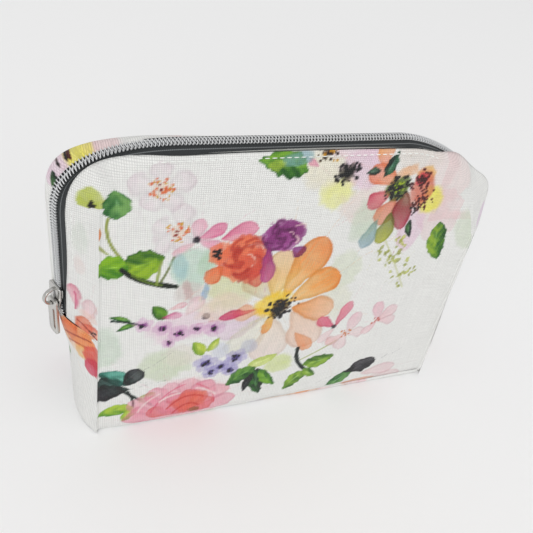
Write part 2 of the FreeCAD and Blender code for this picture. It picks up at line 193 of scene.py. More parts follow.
def finish_object(name: str, bm: bmesh.types.BMesh, material: bpy.types.Material,
                  smooth: bool = True) -> bpy.types.Object:
    """Turn a bmesh in millimetres into an object in metres at the origin.

    Args:
        name: The piece's name.
        bm: The mesh, which is freed.
        material: Its finish.
        smooth: Whether its faces are shaded smooth.

    Returns:
        The new object, linked to the scene.
    """
    bmesh.ops.scale(bm, vec=(MM, MM, MM), verts=bm.verts)
    mesh = bpy.data.meshes.new(name)
    bm.to_mesh(mesh)
    bm.free()
    mesh.polygons.foreach_set("use_smooth", [smooth] * len(mesh.polygons))
    mesh.materials.append(material)
    piece = bpy.data.objects.new(name, mesh)
    bpy.context.scene.collection.objects.link(piece)
    LOG.info("%s: %d faces", name, len(mesh.polygons))
    return piece


def store_uv(piece: bpy.types.Object, across: Array, along: Array) -> None:
    """Give a piece a UV map, in millimetres along the cloth, from per-vertex values.

    Args:
        piece: The object.
        across: First coordinate of each vertex.
        along: Second coordinate of each vertex.
    """
    mesh = piece.data
    layer = mesh.uv_layers.new(name="cloth")
    corner_vertex = np.zeros(len(mesh.loops), int)
    mesh.loops.foreach_get("vertex_index", corner_vertex)
    values = np.stack([across[corner_vertex], along[corner_vertex]], axis=1)
    layer.data.foreach_set("uv", values.astype(np.float32).ravel())


def store_print(piece: bpy.types.Object, colours: Array) -> None:
    """Give a piece its printed colour, one linear colour for each vertex.

    Args:
        piece: The object.
        colours: One linear colour for each vertex.
    """
    attribute = piece.data.color_attributes.new(name="print", type="FLOAT_COLOR", domain="POINT")
    rgba = np.ones((len(colours), 4), np.float32)
    rgba[:, :3] = colours
    attribute.data.foreach_set("color", rgba.ravel())


def outward_normals(bm: bmesh.types.BMesh) -> None:
    """Merge doubles and point every face of a closed mesh outwards."""
    bmesh.ops.remove_doubles(bm, verts=bm.verts, dist=1e-5)
    bmesh.ops.recalc_face_normals(bm, faces=bm.faces)


def face_towards(bm: bmesh.types.BMesh, direction: Vector) -> None:
    """Flip an open sheet's faces if, on the whole, they look away from a direction.

    Args:
        bm: The open sheet.
        direction: Where its faces are to look.
    """
    bm.normal_update()
    total = sum((face.normal * face.calc_area() for face in bm.faces), Vector())
    if total.dot(direction) < 0:
        bmesh.ops.reverse_faces(bm, faces=bm.faces)


# ------------------------------------------------------------------ finishes


class NodeSheet:
    """Short hand for wiring a node tree."""

    def __init__(self, tree: bpy.types.NodeTree) -> None:
        """Keep the tree that nodes are added to."""
        self.tree = tree

    def add(self, kind: str, **settings: object) -> bpy.types.Node:
        """A new node with some of its properties set."""
        node = self.tree.nodes.new(kind)
        for key, value in settings.items():
            setattr(node, key, value)
        return node

    def link(self, source: bpy.types.NodeSocket, target: bpy.types.NodeSocket) -> None:
        """Join an output to an input."""
        self.tree.links.new(source, target)

    def maths(self, operation: str, *values: object) -> bpy.types.NodeSocket:
        """A Math node whose inputs are sockets or numbers; returns its output.

        Args:
            operation: Name of the operation.
            values: Sockets or numbers, one for each input.

        Returns:
            The result's socket.
        """
        node = self.add("ShaderNodeMath", operation=operation)
        for index, value in enumerate(values):
            if isinstance(value, bpy.types.NodeSocket):
                self.link(value, node.inputs[index])
            else:
                node.inputs[index].default_value = float(value)
        return node.outputs[0]

    def blend(self, share: object, first: object, second: object,
              how: str = "MIX") -> bpy.types.NodeSocket:
        """A colour mix of two sockets or colours; returns the mixed colour."""
        node = self.add("ShaderNodeMix", data_type="RGBA", blend_type=how)
        for slot, value in ((0, share), (6, first), (7, second)):
            if isinstance(value, bpy.types.NodeSocket):
                self.link(value, node.inputs[slot])
            elif slot == 0:
                node.inputs[slot].default_value = float(value)
            else:
                node.inputs[slot].default_value = (*value, 1.0)
        return node.outputs[2]


def new_group(name: str, inputs: Sequence[tuple[str, str, float]],
              outputs: Sequence[tuple[str, str]]) -> bpy.types.NodeTree:
    """An empty shader node group with named sockets.

    Args:
        name: The group's name.
        inputs: Name, socket type and default of each input.
        outputs: Name and socket type of each output.

    Returns:
        The group, holding only its input and output nodes.
    """
    group = bpy.data.node_groups.new(name, "ShaderNodeTree")
    for label, kind, default in inputs:
        socket = group.interface.new_socket(label, in_out="INPUT", socket_type=kind)
        if kind == "NodeSocketFloat":
            socket.default_value = default
    for label, kind in outputs:
        group.interface.new_socket(label, in_out="OUTPUT", socket_type=kind)
    group.nodes.new("NodeGroupInput")
    group.nodes.new("NodeGroupOutput")
    return group


def build_weave_group() -> bpy.types.NodeTree:
    """Plain weave: a pillow for each crossing of two threads, with uneven slubs.

    Returns:
        A group that takes a cloth position in millimetres and a thread pitch, and puts out
        the height of the weave and a shade: painted shade in the gaps between the threads
        and painted light on their crowns, together with the slubs' uneven tone.
    """
    group = new_group("plain_weave",
                      [("Cloth", "NodeSocketVector", 0.0), ("Pitch", "NodeSocketFloat", 0.5),
                       ("Slub", "NodeSocketFloat", 0.3)],
                      [("Height", "NodeSocketFloat"), ("Shade", "NodeSocketFloat")])
    sheet = NodeSheet(group)
    source = next(node for node in group.nodes if node.type == "GROUP_INPUT")
    target = next(node for node in group.nodes if node.type == "GROUP_OUTPUT")
    split = sheet.add("ShaderNodeSeparateXYZ")
    sheet.link(source.outputs["Cloth"], split.inputs[0])
    waves = []
    slubs = []
    for axis in range(2):
        turns = sheet.maths("DIVIDE", split.outputs[axis], source.outputs["Pitch"])
        angle = sheet.maths("MULTIPLY", turns, math.pi)
        waves.append(sheet.maths("ABSOLUTE", sheet.maths("SINE", angle)))
        stretch = sheet.add("ShaderNodeMapping")
        stretch.inputs["Scale"].default_value = (1.6, 0.09, 1.0) if axis == 0 else (0.09, 1.6, 1.0)
        sheet.link(source.outputs["Cloth"], stretch.inputs["Vector"])
        streak = sheet.add("ShaderNodeTexNoise")
        streak.inputs["Scale"].default_value = 1.0
        streak.inputs["Detail"].default_value = 2.0
        sheet.link(stretch.outputs[0], streak.inputs["Vector"])
        slubs.append(streak.outputs[0])
    pillow = sheet.maths("SQRT", sheet.maths("MULTIPLY", waves[0], waves[1]))
    slub = sheet.maths("ADD", slubs[0], slubs[1])
    uneven = sheet.maths("MULTIPLY", sheet.maths("SUBTRACT", slub, 1.0), source.outputs["Slub"])
    sheet.link(sheet.maths("ADD", pillow, uneven), target.inputs["Height"])
    # Shade: painted shade between the threads and painted light on their crowns, plus the slubs' uneven
    # tone.
    sheet.link(sheet.maths("ADD", sheet.maths("MULTIPLY", pillow, 0.5), uneven),
               target.inputs["Shade"])
    return group


@dataclass(frozen=True)
class Finish:
    """Shared way to start a material: a name and one principled shader."""

    name: str
    colour: Rgb = (200, 200, 200)
    roughness: float = 0.8
    metallic: float = 0.0

    def start(self) -> tuple[bpy.types.Material, NodeSheet, bpy.types.Node]:
        """A node material with its constant values set.

        Returns:
            The material, its node sheet and its principled shader.
        """
        material = bpy.data.materials.new(self.name)
        material.use_nodes = True
        sheet = NodeSheet(material.node_tree)
        shader = next(node for node in material.node_tree.nodes if node.type == "BSDF_PRINCIPLED")
        shader.inputs["Base Color"].default_value = (*linear_rgb(self.colour), 1.0)
        shader.inputs["Roughness"].default_value = self.roughness
        shader.inputs["Metallic"].default_value = self.metallic
        return material, sheet, shader


@dataclass(frozen=True)
class WovenFinish(Finish):
    """Woven cloth that follows the piece's own cloth map, plain or printed."""

    pitch: float = 0.6
    slub: float = 0.35
    relief: float = 0.5
    depth_mm: float = 0.12
    contrast: float = 0.16
    printed: bool = False
    sheen: float = 0.15

    def build(self, weave: bpy.types.NodeTree) -> bpy.types.Material:
        """Make the material.

        Args:
            weave: The plain weave group.

        Returns:
            The finished material.
        """
        material, sheet, shader = self.start()
        shader.inputs["Sheen Weight"].default_value = self.sheen
        shader.inputs["Sheen Roughness"].default_value = 0.5
        cloth = sheet.add("ShaderNodeUVMap", uv_map="cloth")
        threads = sheet.add("ShaderNodeGroup", node_tree=weave)
        threads.inputs["Pitch"].default_value = self.pitch
        threads.inputs["Slub"].default_value = self.slub
        sheet.link(cloth.outputs[0], threads.inputs["Cloth"])
        # The weave's painted shade and light, with the slubs' tone, multiplies the cloth's colour.
        shade = sheet.maths("MULTIPLY_ADD", threads.outputs["Shade"], self.contrast,
                            1.0 - self.contrast * 0.55)
        if self.printed:
            source = sheet.add("ShaderNodeAttribute", attribute_name="print").outputs["Color"]
        else:
            source = tuple(linear_rgb(self.colour))
        grey = sheet.add("ShaderNodeCombineColor")
        for socket in grey.inputs:
            sheet.link(shade, socket)
        colour = sheet.blend(1.0, source, grey.outputs[0], "MULTIPLY")
        sheet.link(colour, shader.inputs["Base Color"])
        bump = sheet.add("ShaderNodeBump")
        bump.inputs["Strength"].default_value = self.relief
        bump.inputs["Distance"].default_value = self.depth_mm * MM
        sheet.link(threads.outputs["Height"], bump.inputs["Height"])
        sheet.link(bump.outputs[0], shader.inputs["Normal"])
        return material


@dataclass(frozen=True)
class TapeFinish(Finish):
    """Ribbed zip tape: fine ribs along it with painted shade and light, and one pale woven line beside the
    coil.
    """

    line_colour: Rgb = (150, 154, 156)
    line_at: float = 4.15
    line_width: float = 0.55
    rib: float = 0.55

    def build(self) -> bpy.types.Material:
        """Make the material; the cloth map runs along the zip (U) and across it (V)."""
        material, sheet, shader = self.start()
        cloth = sheet.add("ShaderNodeUVMap", uv_map="cloth")
        split = sheet.add("ShaderNodeSeparateXYZ")
        sheet.link(cloth.outputs[0], split.inputs[0])
        along, across = split.outputs[0], split.outputs[1]
        turn = 2.0 * math.pi
        ribs = sheet.maths("SINE", sheet.maths("MULTIPLY", across, turn / self.rib))
        picks = sheet.maths("SINE", sheet.maths("MULTIPLY", along, turn / 0.7))
        away = sheet.maths("ABSOLUTE", sheet.maths("SUBTRACT", across, self.line_at))
        line = sheet.maths("LESS_THAN", away, self.line_width / 2.0)
        dashes = sheet.maths("MULTIPLY", line, sheet.maths("MULTIPLY_ADD", picks, 0.25, 0.6))
        base = sheet.blend(dashes, tuple(linear_rgb(self.colour)),
                           tuple(linear_rgb(self.line_colour)))
        # Painted shade and light of the ribs and picks, multiplied into the tape's colour.
        shade = sheet.maths("MULTIPLY_ADD", sheet.maths("MULTIPLY", ribs, picks), 0.18, 0.9)
        grey = sheet.add("ShaderNodeCombineColor")
        for socket in grey.inputs:
            sheet.link(shade, socket)
        sheet.link(sheet.blend(1.0, base, grey.outputs[0], "MULTIPLY"),
                   shader.inputs["Base Color"])
        bump = sheet.add("ShaderNodeBump")
        bump.inputs["Strength"].default_value = 0.6
        bump.inputs["Distance"].default_value = 0.15 * MM
        sheet.link(sheet.maths("MULTIPLY_ADD", picks, 0.5, ribs), bump.inputs["Height"])
        sheet.link(bump.outputs[0], shader.inputs["Normal"])
        return material


@dataclass(frozen=True)
class MetalFinish(Finish):
    """Plated metal with a faint grain and uneven gloss."""

    grain: float = 0.03
    grain_scale: float = 900.0
    stretch: tuple[float, float, float] = (1.0, 1.0, 0.08)

    def build(self) -> bpy.types.Material:
        """Make the material, with its grain on object coordinates."""
        material, sheet, shader = self.start()
        place = sheet.add("ShaderNodeTexCoord")
        stretch = sheet.add("ShaderNodeMapping")
        stretch.inputs["Scale"].default_value = self.stretch
        sheet.link(place.outputs["Object"], stretch.inputs["Vector"])
        noise = sheet.add("ShaderNodeTexNoise")
        noise.inputs["Scale"].default_value = self.grain_scale
        noise.inputs["Detail"].default_value = 3.0
        sheet.link(stretch.outputs[0], noise.inputs["Vector"])
        gloss = sheet.maths("MULTIPLY_ADD", noise.outputs[0], 0.18, self.roughness - 0.09)
        sheet.link(gloss, shader.inputs["Roughness"])
        bump = sheet.add("ShaderNodeBump")
        bump.inputs["Strength"].default_value = self.grain * 10.0
        bump.inputs["Distance"].default_value = 0.02 * MM
        sheet.link(noise.outputs[0], bump.inputs["Height"])
        sheet.link(bump.outputs[0], shader.inputs["Normal"])
        return material


# ------------------------------------------------------------------ the flower print

Spot = tuple[float, float]


@dataclass
class Wet:
    """The cloth while it is being painted: where each point is and its colour so far."""

    x: Array
    z: Array
    colour: Array
    ripple: Ripple

    def near(self, centre: Spot, reach: float) -> Array:
        """Indices of the points within reach of a spot."""
        return np.nonzero((np.abs(self.x - centre[0]) < reach)
                          & (np.abs(self.z - centre[1]) < reach))[0]

    def stain(self, chosen: Array, mask: Array, colour: Array) -> None:
        """Lay a colour over the chosen points; mask is how much of it shows.

        Args:
            chosen: Indices of the points.
            mask: Share of the colour for each point.
            colour: One colour, or one for each point.
        """
        share = np.clip(mask, 0.0, 1.0)[:, None]
        self.colour[chosen] = self.colour[chosen] * (1.0 - share) + colour * share

    def grain(self, chosen: Array, scale: float, shift: float) -> Array:
        """Uneven pigment over the chosen points, from -1 to 1.

        Args:
            chosen: Indices of the points.
            scale: Size of the patches, in millimetres.
            shift: Place in the noise.

        Returns:
            One value for each point.
        """
        return self.ripple.layered(self.x[chosen] / scale + shift,
                                   self.z[chosen] / scale - shift, 3) / 1.75


def shade_between(inner: Rgb, outer: Rgb, share: Array) -> Array:
    """Colours between two, one for each share.

    Args:
        inner: Colour at share 0.
        outer: Colour at share 1.
        share: One value for each point.

    Returns:
        One colour for each share.
    """
    part = np.clip(share, 0.0, 1.0)[:, None]
    return np.array(inner, float) * (1.0 - part) + np.array(outer, float) * part


@dataclass(frozen=True)
class Petal:
    """A brush mark from a base to a tip, wide near the tip, paler in the middle."""

    base: Spot
    tip: Spot
    width: float
    inner: Rgb
    outer: Rgb
    strength: float = 0.9
    fullness: float = 0.62
    ragged: float = 0.14
    soft: float = 0.5

    def paint(self, wet: Wet) -> None:
        """Stain the cloth with this mark."""
        axis = np.array(self.tip, float) - np.array(self.base, float)
        length = float(np.hypot(*axis))
        middle = (np.array(self.base) + np.array(self.tip)) / 2.0
        chosen = wet.near(tuple(middle), length * 0.75 + self.width)
        if len(chosen) == 0:
            return
        ahead = axis / length
        dx = wet.x[chosen] - self.base[0]
        dz = wet.z[chosen] - self.base[1]
        shift = self.base[0] * 0.37 + self.tip[1] * 0.21
        wobble = wet.grain(chosen, self.width * 0.5 + 1.0, shift)
        along = (dx * ahead[0] + dz * ahead[1]) / length
        across = (-dx * ahead[1] + dz * ahead[0]) + wobble * self.width * self.ragged
        streak = wet.ripple.layered(across / 0.8 + shift, along * length / 7.0, 2) / 1.5
        room = np.clip(along, 0.0, 1.0)
        widest = self.fullness
        grown = np.clip(room / widest, 0.0, 1.0) ** 0.75
        rounded = np.sqrt(np.clip(1.0 - (np.clip(room - widest, 0.0, 1.0)
                                         / (1.0 - widest)) ** 2, 0.0, 1.0))
        rim = self.width / 2.0 * grown * rounded * (1.0 + 0.10 * wobble)
        inside = rim - np.abs(across)
        mask = smooth_step(inside, -self.soft * 0.5, self.soft)
        pooled = 1.0 - smooth_step(inside, self.soft, self.soft + self.width * 0.14)
        share = along * 1.1 - 0.05 + 0.35 * wobble + 0.22 * streak
        colour = shade_between(self.inner, self.outer, share)
        colour = colour * (1.0 - 0.07 * pooled[:, None] + 0.05 * streak[:, None])
        alpha = self.strength * (0.80 + 0.22 * wobble + 0.10 * streak + 0.14 * pooled)
        wet.stain(chosen, mask * alpha, colour)


@dataclass(frozen=True)
class Leaf:
    """A leaf from its stalk to its point, with a pale vein and a darker half."""

    base: Spot
    tip: Spot
    width: float
    light: Rgb
    dark: Rgb
    strength: float = 0.95
    teeth: float = 0.10

    def paint(self, wet: Wet) -> None:
        """Stain the cloth with this leaf."""
        axis = np.array(self.tip, float) - np.array(self.base, float)
        length = float(np.hypot(*axis))
        middle = (np.array(self.base) + np.array(self.tip)) / 2.0
        chosen = wet.near(tuple(middle), length * 0.75 + self.width)
        if len(chosen) == 0:
            return
        ahead = axis / length
        dx = wet.x[chosen] - self.base[0]
        dz = wet.z[chosen] - self.base[1]
        shift = self.tip[0] * 0.53 - self.base[1] * 0.17
        wobble = wet.grain(chosen, 3.2, shift)
        along = (dx * ahead[0] + dz * ahead[1]) / length
        across = -dx * ahead[1] + dz * ahead[0] + 0.06 * length * np.sin(math.pi * along)
        fine = wet.grain(chosen, 1.3, shift + 3.0)
        streak = np.sin(along * length / 1.15 + np.abs(across) * 1.3 + 1.5 * wobble)
        saw = self.teeth * self.width * (0.5 + 0.5 * np.sin(along * length * 1.4 + 2.0 * wobble))
        rim = self.width / 2.0 * np.sin(math.pi * np.clip(along, 0.0, 1.0) ** 0.85) ** 0.7 - saw
        past = np.clip(np.maximum(along - 1.0, -along), 0.0, None) * length
        inside = rim - np.abs(across) + 0.05 * self.width * wobble + 0.25 * fine - 1.5 * past
        mask = smooth_step(inside, -0.15, 0.35)
        half = smooth_step(across / self.width, -0.3, 0.3)
        vein = np.exp(-(across / 0.4) ** 2) * smooth_step(along, 0.15, 0.3) * (
            1.0 - smooth_step(along, 0.55, 0.8))
        pooled = 1.0 - smooth_step(inside, 0.2, 1.1)
        share = 0.65 * half + 0.35 * wobble + 0.20 * streak + 0.35 * pooled + 0.15 * fine
        colour = shade_between(self.light, self.dark, share)
        colour = colour + np.clip(vein * (0.6 + wobble), 0.0, 1.0)[:, None] * 60.0
        wet.stain(chosen, mask * self.strength, colour)


@dataclass(frozen=True)
class Stem:
    """A thin curved stroke through three spots."""

    start: Spot
    bend: Spot
    end: Spot
    width: float
    colour: Rgb
    strength: float = 0.9

    def paint(self, wet: Wet) -> None:
        """Stain the cloth with this stroke."""
        share = np.linspace(0.0, 1.0, 26)[:, None]
        path = ((1 - share) ** 2 * np.array(self.start) + 2 * share * (1 - share)
                * np.array(self.bend) + share ** 2 * np.array(self.end))
        middle = path.mean(axis=0)
        reach = float(np.abs(path - middle).max()) + self.width + 1.0
        chosen = wet.near(tuple(middle), reach)
        if len(chosen) == 0:
            return
        distance = np.full(len(chosen), 1e9)
        here = np.stack([wet.x[chosen], wet.z[chosen]], axis=1)
        for low, high in zip(path[:-1], path[1:]):
            leg = high - low
            part = np.clip(((here - low) @ leg) / (leg @ leg + 1e-9), 0.0, 1.0)
            distance = np.minimum(distance, np.hypot(*(here - low - part[:, None] * leg).T))
        wobble = wet.grain(chosen, 2.5, self.start[0])
        half = self.width / 2.0 * (1.0 + 0.3 * wobble)
        mask = 1.0 - smooth_step(distance, half - 0.2, half + 0.3)
        wet.stain(chosen, mask * self.strength, np.array(self.colour, float))


@dataclass(frozen=True)
class Wash:
    """A soft pale pool of colour."""

    centre: Spot
    size: Spot
    turn: float
    colour: Rgb
    strength: float = 0.35
    ragged: float = 0.3
    hard: float = 0.25

    def paint(self, wet: Wet) -> None:
        """Stain the cloth with this pool."""
        chosen = wet.near(self.centre, max(self.size) * 1.5)
        if len(chosen) == 0:
            return
        angle = math.radians(self.turn)
        dx = wet.x[chosen] - self.centre[0]
        dz = wet.z[chosen] - self.centre[1]
        a = (dx * math.cos(angle) + dz * math.sin(angle)) / self.size[0]
        b = (-dx * math.sin(angle) + dz * math.cos(angle)) / self.size[1]
        wobble = wet.grain(chosen, max(self.size) * 0.4, self.centre[0] + self.centre[1])
        fine = wet.grain(chosen, 1.6, self.centre[0] - self.centre[1])
        radius = np.hypot(a, b) + self.ragged * (wobble + 0.25 * fine)
        mask = 1.0 - smooth_step(radius, 0.35 + 1.1 * self.hard, 1.05)
        pigment = 0.82 + 0.25 * wobble + 0.12 * fine
        tone = np.array(self.colour, float) * (1.0 + 0.04 * fine[:, None])
        wet.stain(chosen, mask * pigment * self.strength, tone)


@dataclass(frozen=True)
class Dots:
    """Stamens or seeds: small dots scattered in a ring."""

    centre: Spot
    inner: float
    outer: float
    count: int
    size: float
    colour: Rgb
    strength: float = 0.95

    def paint(self, wet: Wet) -> None:
        """Stain the cloth with the dots."""
        dice = np.random.RandomState(int(abs(self.centre[0] * 31 + self.centre[1] * 7)) + self.count)
        for _ in range(self.count):
            angle = dice.uniform(0.0, 2.0 * math.pi)
            reach = dice.uniform(self.inner, self.outer)
            size = self.size * dice.uniform(0.6, 1.25)
            spot = (self.centre[0] + reach * math.cos(angle),
                    self.centre[1] + reach * math.sin(angle))
            chosen = wet.near(spot, size * 2.0 + 0.6)
            distance = np.hypot(wet.x[chosen] - spot[0], wet.z[chosen] - spot[1])
            mask = 1.0 - smooth_step(distance, size * 0.6, size * 1.25)
            wet.stain(chosen, mask * self.strength, np.array(self.colour, float))


@dataclass(frozen=True)
class Bloom:
    """A whole flower: a ring of petals, and what sits in its middle."""

    centre: Spot
    radius: float
    petals: int
    inner: Rgb
    outer: Rgb
    heart: Rgb
    heart_size: float = 0.2
    turn: float = 0.0
    strength: float = 0.85
    flatten: float = 1.0
    lean: float = 0.0
    plump: float = 1.25
    stamen: Rgb | None = None
    stamens: int = 9

    def marks(self) -> list[object]:
        """The petals, heart and stamens of the flower."""
        dice = np.random.RandomState(int(abs(self.centre[0] * 13 + self.centre[1] * 5)) + 3)
        tip_turn = math.radians(self.lean)
        found: list[object] = []
        for index in range(self.petals):
            angle = math.radians(self.turn) + 2.0 * math.pi * (
                index + dice.uniform(-0.18, 0.18)) / self.petals
            length = self.radius * dice.uniform(0.82, 1.12)
            ox = math.cos(angle) * length
            oz = math.sin(angle) * length * self.flatten
            tip = (self.centre[0] + ox * math.cos(tip_turn) - oz * math.sin(tip_turn),
                   self.centre[1] + ox * math.sin(tip_turn) + oz * math.cos(tip_turn))
            width = self.plump * 2.0 * self.radius * math.sin(math.pi / self.petals)
            tone = dice.uniform(-9.0, 9.0)
            outer = tuple(float(np.clip(value + tone, 0, 255)) for value in self.outer)
            found.append(Petal(self.centre, tip, width * dice.uniform(0.85, 1.1), self.inner,
                               outer, self.strength, 0.75, 0.12))
        size = self.radius * self.heart_size
        found.append(Wash(self.centre, (size * 1.6, size * 1.6), 0.0, self.heart, 0.8))
        if self.stamen is not None:
            found.append(Dots(self.centre, size * 0.5, size * 2.3, self.stamens,
                              max(0.45, self.radius * 0.045), self.stamen))
        return found

    def paint(self, wet: Wet) -> None:
        """Stain the cloth with every mark of the flower."""
        for mark in self.marks():
            mark.paint(wet)


@dataclass(frozen=True)
class Rose:
    """A full flower of curled petals: rings of overlapping arcs, darker inwards."""

    centre: Spot
    radius: float
    light: Rgb
    dark: Rgb
    strength: float = 0.9
    flatten: float = 0.9

    def paint(self, wet: Wet) -> None:
        """Stain the cloth with the petals, from the outside inwards."""
        dice = np.random.RandomState(int(abs(self.centre[0] * 17 + self.centre[1] * 3)) + 1)
        cx, cz = self.centre
        for index in range(6):
            angle = 2.0 * math.pi * (index + dice.uniform(-0.3, 0.3)) / 6.0
            spot = (cx + math.cos(angle) * self.radius * 0.45,
                    cz + math.sin(angle) * self.radius * 0.45 * self.flatten)
            tone = tuple(shade_between(self.light, self.dark,
                                       np.array([dice.uniform(0.0, 0.55)]))[0])
            size = self.radius * dice.uniform(0.5, 0.62)
            Wash(spot, (size, size * 0.85), math.degrees(angle) + 90.0, tone,
                 self.strength, 0.32, 0.5).paint(wet)
        for index in range(17):
            angle = 2.0 * math.pi * (index * 0.382 + dice.uniform(-0.05, 0.05))
            reach = self.radius * dice.uniform(0.2, 0.85)
            sweep = dice.uniform(0.22, 0.5)
            bow = dice.uniform(0.95, 1.5)

            def on_ring(turn: float, scale: float) -> Spot:
                return (cx + math.cos(turn) * reach * scale,
                        cz + math.sin(turn) * reach * scale * self.flatten)

            pale = index % 5 == 3
            tone = tuple(shade_between(self.light, self.dark, np.array([0.9]))[0] * 0.86)
            colour = (250.0, 226.0, 214.0) if pale else tone
            width = dice.uniform(0.6, 1.0) if pale else dice.uniform(0.8, self.radius * 0.2)
            Stem(on_ring(angle - sweep, 1.1), on_ring(angle, bow), on_ring(angle + sweep, 0.8),
                 width, colour, 0.55 if not pale else 0.6).paint(wet)


WHITE = (241, 241, 238)
BLUSH = (246, 214, 214)
ROSE_PINK = (233, 120, 150)
CORAL = (240, 118, 96)
SALMON = (246, 158, 124)
PEACH = (250, 196, 150)
AMBER = (250, 206, 84)
LIME = (176, 196, 70)
LEAF_GREEN = (104, 152, 52)
DEEP_GREEN = (42, 92, 50)
NIGHT_GREEN = (22, 44, 38)
TEAL = (56, 116, 108)
SAGE = (204, 218, 200)
OLIVE = (150, 152, 78)
LILAC = (222, 186, 222)
VIOLET = (124, 70, 150)
PLUM = (112, 44, 110)
INK = (26, 22, 30)


def cloud_flowers(spots: Sequence[tuple[Spot, float]], petal: Rgb, heart: Rgb) -> list[object]:
    """Small soft flowers that run together: a pale cloud each, and a dark smudged heart.

    Args:
        spots: Centre and radius of each flower.
        petal: Colour of the clouds.
        heart: Colour of the small dark hearts.

    Returns:
        The marks, in painting order.
    """
    found: list[object] = []
    for index, ((x, z), radius) in enumerate(spots):
        for turn in (20, 95, 165, 240, 310):
            angle = math.radians(turn + 23 * index)
            spot = (x + radius * 0.55 * math.cos(angle), z + radius * 0.5 * math.sin(angle))
            found.append(Wash(spot, (radius * 0.62, radius * 0.5), turn, petal, 0.55, 0.3, 0.45))
    for index, ((x, z), radius) in enumerate(spots):
        found.append(Wash((x, z), (radius * 0.5, radius * 0.36), 30 * index, heart, 0.75, 0.5))
        found.append(Dots((x, z), 0, radius * 0.42, 6, radius * 0.15, (34, 14, 44)))
    return found


def pale_blossom(centre: Spot, radius: float, turn: float) -> list[object]:
    """One of the pale blossoms: nearly white petals and a ring of coral stamens.

    Args:
        centre: Its middle.
        radius: Its reach.
        turn: Direction of the first petal, in degrees.

    Returns:
        The marks, in painting order.
    """
    found: list[object] = []
    for index, reach in enumerate((1.15, 0.95, 1.1, 0.85, 1)):
        angle = math.radians(turn + 72 * index)
        tip = (centre[0] + radius * reach * math.cos(angle),
               centre[1] + radius * reach * math.sin(angle))
        found.append(Petal(centre, tip, radius * 0.85, (242, 238, 238),
                           (228, 206, 216), 0.46, 0.62, 0.2, 1.4))
    found.append(Wash(centre, (radius * 0.34, radius * 0.28), turn, (244, 214, 190), 0.6))
    found.append(Dots(centre, radius * 0.12, radius * 0.42, 22, 0.62, (226, 122, 84)))
    found.append(Dots(centre, radius * 0.2, radius * 0.5, 12, 0.5, (214, 164, 70)))
    found.append(Dots(centre, 0, radius * 0.2, 5, 0.5, (150, 70, 60)))
    return found


